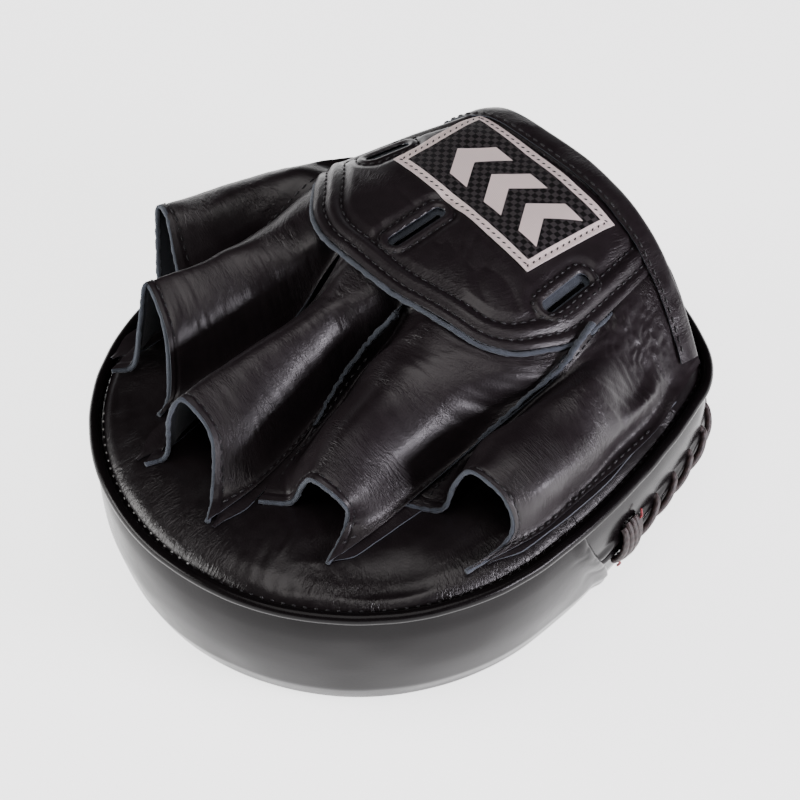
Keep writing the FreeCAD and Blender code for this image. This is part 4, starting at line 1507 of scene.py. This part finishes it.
pad_rows, side_rows = [], []
for name, piece in SLEEVES.items():
    rows = side_rows if name in SIDE_WALLS else pad_rows
    tip = 1 - HEM / LENGTHS[name]
    for seam, along, across in (
        ("hem", (tip, tip), (0.12, 0.88)), ("left", (0.3, 0.97), (0.07, 0.07)), ("right", (0.3, 0.97), (0.93, 0.93)),
    ):
        rows.append(lay_stitches(f"{name}_{seam}", piece, surface_line(SURFACES[name], along, across)))
welt_seam = np.linspace(0, RIM_LENGTH, 900)
seam_line, _ = rim_at(welt_seam, 4.0, 57.6)
around = np.degrees(np.arctan2(seam_line[:, 1], seam_line[:, 0]))
# On the front-left arc the welt stitches are light grey, painted glints of the dark thread; the rest of the row stays
# dark thread.
glint_arc = (around > 44) & (around < 96)
glint_arc_end = int(np.argmax(np.diff(np.nonzero(~glint_arc)[0])) + 1)
dark_thread_line = np.roll(seam_line[~glint_arc], -glint_arc_end, 0)
pad_rows.append(lay_stitches("welt_seam", back, dark_thread_line, pitch=4.0, length=1.5, width=0.7, height=0.6))
pad_rows.append(lay_stitches(
    "welt_seam_glints", back, seam_line[glint_arc], pitch=3.9, length=1.1, width=0.75, height=0.8, material=glint_thread,
))
pad_stitching = join_pieces(pad_rows, "pad_stitching")
side_stitching = join_pieces(side_rows, "side_stitching")
bpy.data.objects.remove(stitch_template)

# %% [markdown]
# ## Seam strips
# Under the flanges of two neighbouring sleeves lies a strip of hide with raw edges, sewn to the back.


# %% Seam strips
STRIP_WIDTH = 10.0
UNDER_LEATHER = 1.3


def strip_piece(line, node):
    line = np.asarray(line, float)

    def shape(along, across):
        centre = spline(line, along)
        ahead = spline(line, np.clip(along + 0.02, 0, 1)) - spline(line, np.clip(along - 0.02, 0, 1))
        side = np.stack([-ahead[:, 1], ahead[:, 0]], 1)
        side /= np.linalg.norm(side, axis=1, keepdims=True)
        taper = STRIP_WIDTH * (1 - 0.85 * step(0.86, 1.0, along)) * (1 + 0.06 * soft_noise(along * 9, across, 121))
        flat = centre + side * ((across - 0.5) * taper)[:, None]
        lift = GLOVE_Z - 0.3 + 0.3 * soft_noise(along * 12, across * 2, 122)
        return np.column_stack([flat, lift])

    piece = sheet_piece(f"{node}_leather", 90, 10, shape, (90, STRIP_WIDTH), (0, 0, 0))
    thicken(piece, UNDER_LEATHER, [glove_leather, suede, raw_edge])
    sew_to_pad(piece, "glove_leather", node, creases=lambda p: 0.5, angle=50)


for line, node in zip(SEAM_LINES, (
    "strip_thumb_outer", "strip_index_thumb", "strip_middle_index", "strip_ring_middle", "strip_little_ring",
)):
    strip_piece(line, node)


# %% Palm piece
PALM_CORNER = (-66, -104)
PALM_SIZE = (130, 78)


def palm_shape(along, across):
    x = PALM_CORNER[0] + PALM_SIZE[0] * along
    y = PALM_CORNER[1] + PALM_SIZE[1] * across
    dome = 1.2 * np.sin(math.pi * along) * np.sin(math.pi * across)
    return np.column_stack([x, y, GLOVE_Z - 0.6 + dome + 0.5 * soft_noise(x / 14, y / 14, 131)])


palm = sheet_piece("palm_leather", 70, 44, palm_shape, PALM_SIZE, (0, -60, 0))
thicken(palm, UNDER_LEATHER, [suede, glove_leather, raw_edge])
sew_to_pad(palm, "glove_leather", "palm_piece", angle=50)

# %% [markdown]
# ## Knuckle seam
# Where the sleeves join the hand panel, their raw edges show as a blue-grey cord under the border.

# %% Knuckle seam
CUFF_GAP = 8  # a wider step between points is the cuff's opening, where the cord starts and ends
SLEEVE_EDGES = (
    (((4.9, -24, 89.2), (5.3, -21.5, 88.4), (7.8, -8.5, 78.9), (5.6, 7.5, 71.6), (0.9, 22, 67.4)), 1.75, 0.7),
    ((
        (-50.5, -69, 92.6), (-52.5, -61, 92.2), (-54.6, -49, 88), (-53.6, -38, 84.6), (-50.5, -24, 77),
        (-48, -13, 71),
    ), 1.5, 0.7),
)
edge_line = outline_inset(PANEL_EDGE, -0.6)
edge_line = np.roll(edge_line, -int(np.argmin(edge_line[:, 1])), 0)
wander = 0.3 * soft_noise(np.arange(len(edge_line)) / 5, seed=141)
edge_points = arch_point(edge_line[:, 0], edge_line[:, 1], wander - 1.5)
edge_points = edge_points[ahead_of_cuff(edge_points) > 3.0]
gaps = np.linalg.norm(np.diff(edge_points, axis=0), axis=1)
if gaps.max() > CUFF_GAP:
    edge_points = np.roll(edge_points, -int(np.argmax(gaps) + 1), 0)
ragged = 1.15 * (1 + 0.16 * soft_noise(np.arange(len(edge_points)) / 2.3, seed=142))
cords = [tube_piece("panel_cord", edge_points, ragged, 10, material=raw_edge, flat=0.8)]
for number, (line, thick, thin) in enumerate(SLEEVE_EDGES):
    shares = np.linspace(0, 1, 110)
    wander = 0.22 * soft_noise(shares * 45, seed=143 + number)
    ragged = (thick + (thin - thick) * shares) * (1 + 0.16 * soft_noise(shares * 60, seed=145 + number))
    edge = spline(line, shares) + wander[:, None]
    cords.append(tube_piece(f"cord_{number}", edge, ragged, 10, material=raw_edge, flat=0.7))
knuckle_seam = join_pieces(cords, "knuckle_seam")

# %% [markdown]
# ## Lacing
# One cord laces the two heel bands together: outside it slants from hole to hole, and inside it goes
# straight back. Its end is wound into a flat bundle on the thumb side, with two red thread ends.

# %% Lacing
LACE_RADIUS = 1.45


def lace_point(run, z, proud):
    return rim_at(np.array([run]), wall_inset(np.array([z])) - proud, z)[0][0]


def lace_line():
    """The cord's control points: over the seam on a slant, in at a hole, up or down inside, out again."""
    points = []
    run = LEFT_SEAM_FOOT + 8.0
    end = RIM_LENGTH + RIGHT_SEAM - 6.0
    while run < end:
        for ahead, rise, proud in (
            (0, -5.2, -2.6), (0.8, -4.6, 1.5), (LACE_PITCH * 0.5, 0, 3.0), (LACE_PITCH - 0.8, 4.6, 1.5),
            (LACE_PITCH, 5.2, -2.6),
        ):
            points.append(lace_point(run + ahead, LACE_Z + rise, proud))
        run += LACE_PITCH
    return np.array(points)


control = lace_line()
lace_course = spline(control, np.linspace(0, 1, len(control) * 7))
lace = tube_piece("heel_lacing", lace_course, LACE_RADIUS, 8, material=lace_cord)
sew_to_pad(lace, "lace", "heel_lace")

# %% Lace bundle
BUNDLE_RUN = LEFT_SEAM_FOOT + 1.0
BUNDLE_HEIGHT = 20.0
strands = []
for number, offset in enumerate((-4.2, -2.2, 0.0, 2.2, 4.2)):
    reach = BUNDLE_HEIGHT / 2 * math.sqrt(1 - (offset / 7.5) ** 2)
    line = []
    for share in np.linspace(0, 1, 25):
        z = LACE_Z + 1.0 - reach + 2 * reach * share
        proud = 0.6 + 2.4 * math.sin(math.pi * share) ** 0.5
        proud += 1.4 * (1 - (offset / 5) ** 2) * math.sin(math.pi * share)
        lean = 2.6 * (share - 0.5)
        line.append(lace_point(BUNDLE_RUN + offset + lean, z, proud))
    strands.append(tube_piece(f"strand_{number}", line, 1.35, 8, material=lace_cord))
for number, (offset, z, drop) in enumerate(((4.6, 8.0, 5.0), (-3.4, -9.0, -5.0))):
    line = [
        lace_point(BUNDLE_RUN + offset, LACE_Z + z, 1.6),
        lace_point(BUNDLE_RUN + offset + 1.0, LACE_Z + z + drop * 0.4, 2.6),
        lace_point(BUNDLE_RUN + offset + 1.6, LACE_Z + z + drop, 1.8),
    ]
    strands.append(tube_piece(f"red_{number}", spline(line, np.linspace(0, 1, 12)), 0.5, 6, material=red_thread))
bundle = join_pieces(strands, "lace_bundle")
sew_to_pad(bundle, "lace", "lace_bar")

# %% [markdown]
# ## Finishing the glove
# The sleeves get their creases for the material, and those on the pad their place on the pad's body. The hand cover
# lifts from the knuckles, but its walls are sewn to the pad; here the two outer sleeves and the cover pieces
# are fixed where they lie, on no body.


def creased(low, high, size, seed):
    return lambda p: low + (high - low) * (0.5 + 0.5 * soft_noise(p[:, 0] / size, p[:, 1] / size, seed))


for name, piece in SLEEVES.items():
    if name not in SIDE_WALLS:
        sew_to_pad(piece, "glove_leather", name, creases=creased(0.1, 0.95, 14, 151), angle=60)
        continue
    paint_creases(piece, creased(0.1, 0.95, 14, 151))
    smooth(piece, 60)
    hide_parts(name, SIDE_WALLS[name])
    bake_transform(piece)

for piece, slot, nodes in (
    (panel, "glove_leather", ("hand_panel",)),
    (lining, "suede", ("panel_lining", "panel_foam")),
    (binding, "glove_leather", ("cuff_binding",)),
    (label, "woven_label", ("woven_label",)),
    (knuckle_seam, "suede", ()),
    (cover_stitching, "glove_leather", ()),
    (side_stitching, "glove_leather", ()),
):
    if piece in (panel, binding):
        paint_creases(piece, creased(0.1, 0.8, 12, 152))
    if piece not in (cover_stitching, side_stitching, knuckle_seam):
        smooth(piece, 60)
    if nodes:
        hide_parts(*nodes)
    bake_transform(piece)
sew_to_pad(pad_stitching, "glove_leather")

# %% Hidden foam and cord
for name in ("face_foam", "core_foam", "back_foam", "welt_cord"):
    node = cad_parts[name]
    node.data.materials.clear()
    node.data.materials.append(foam)
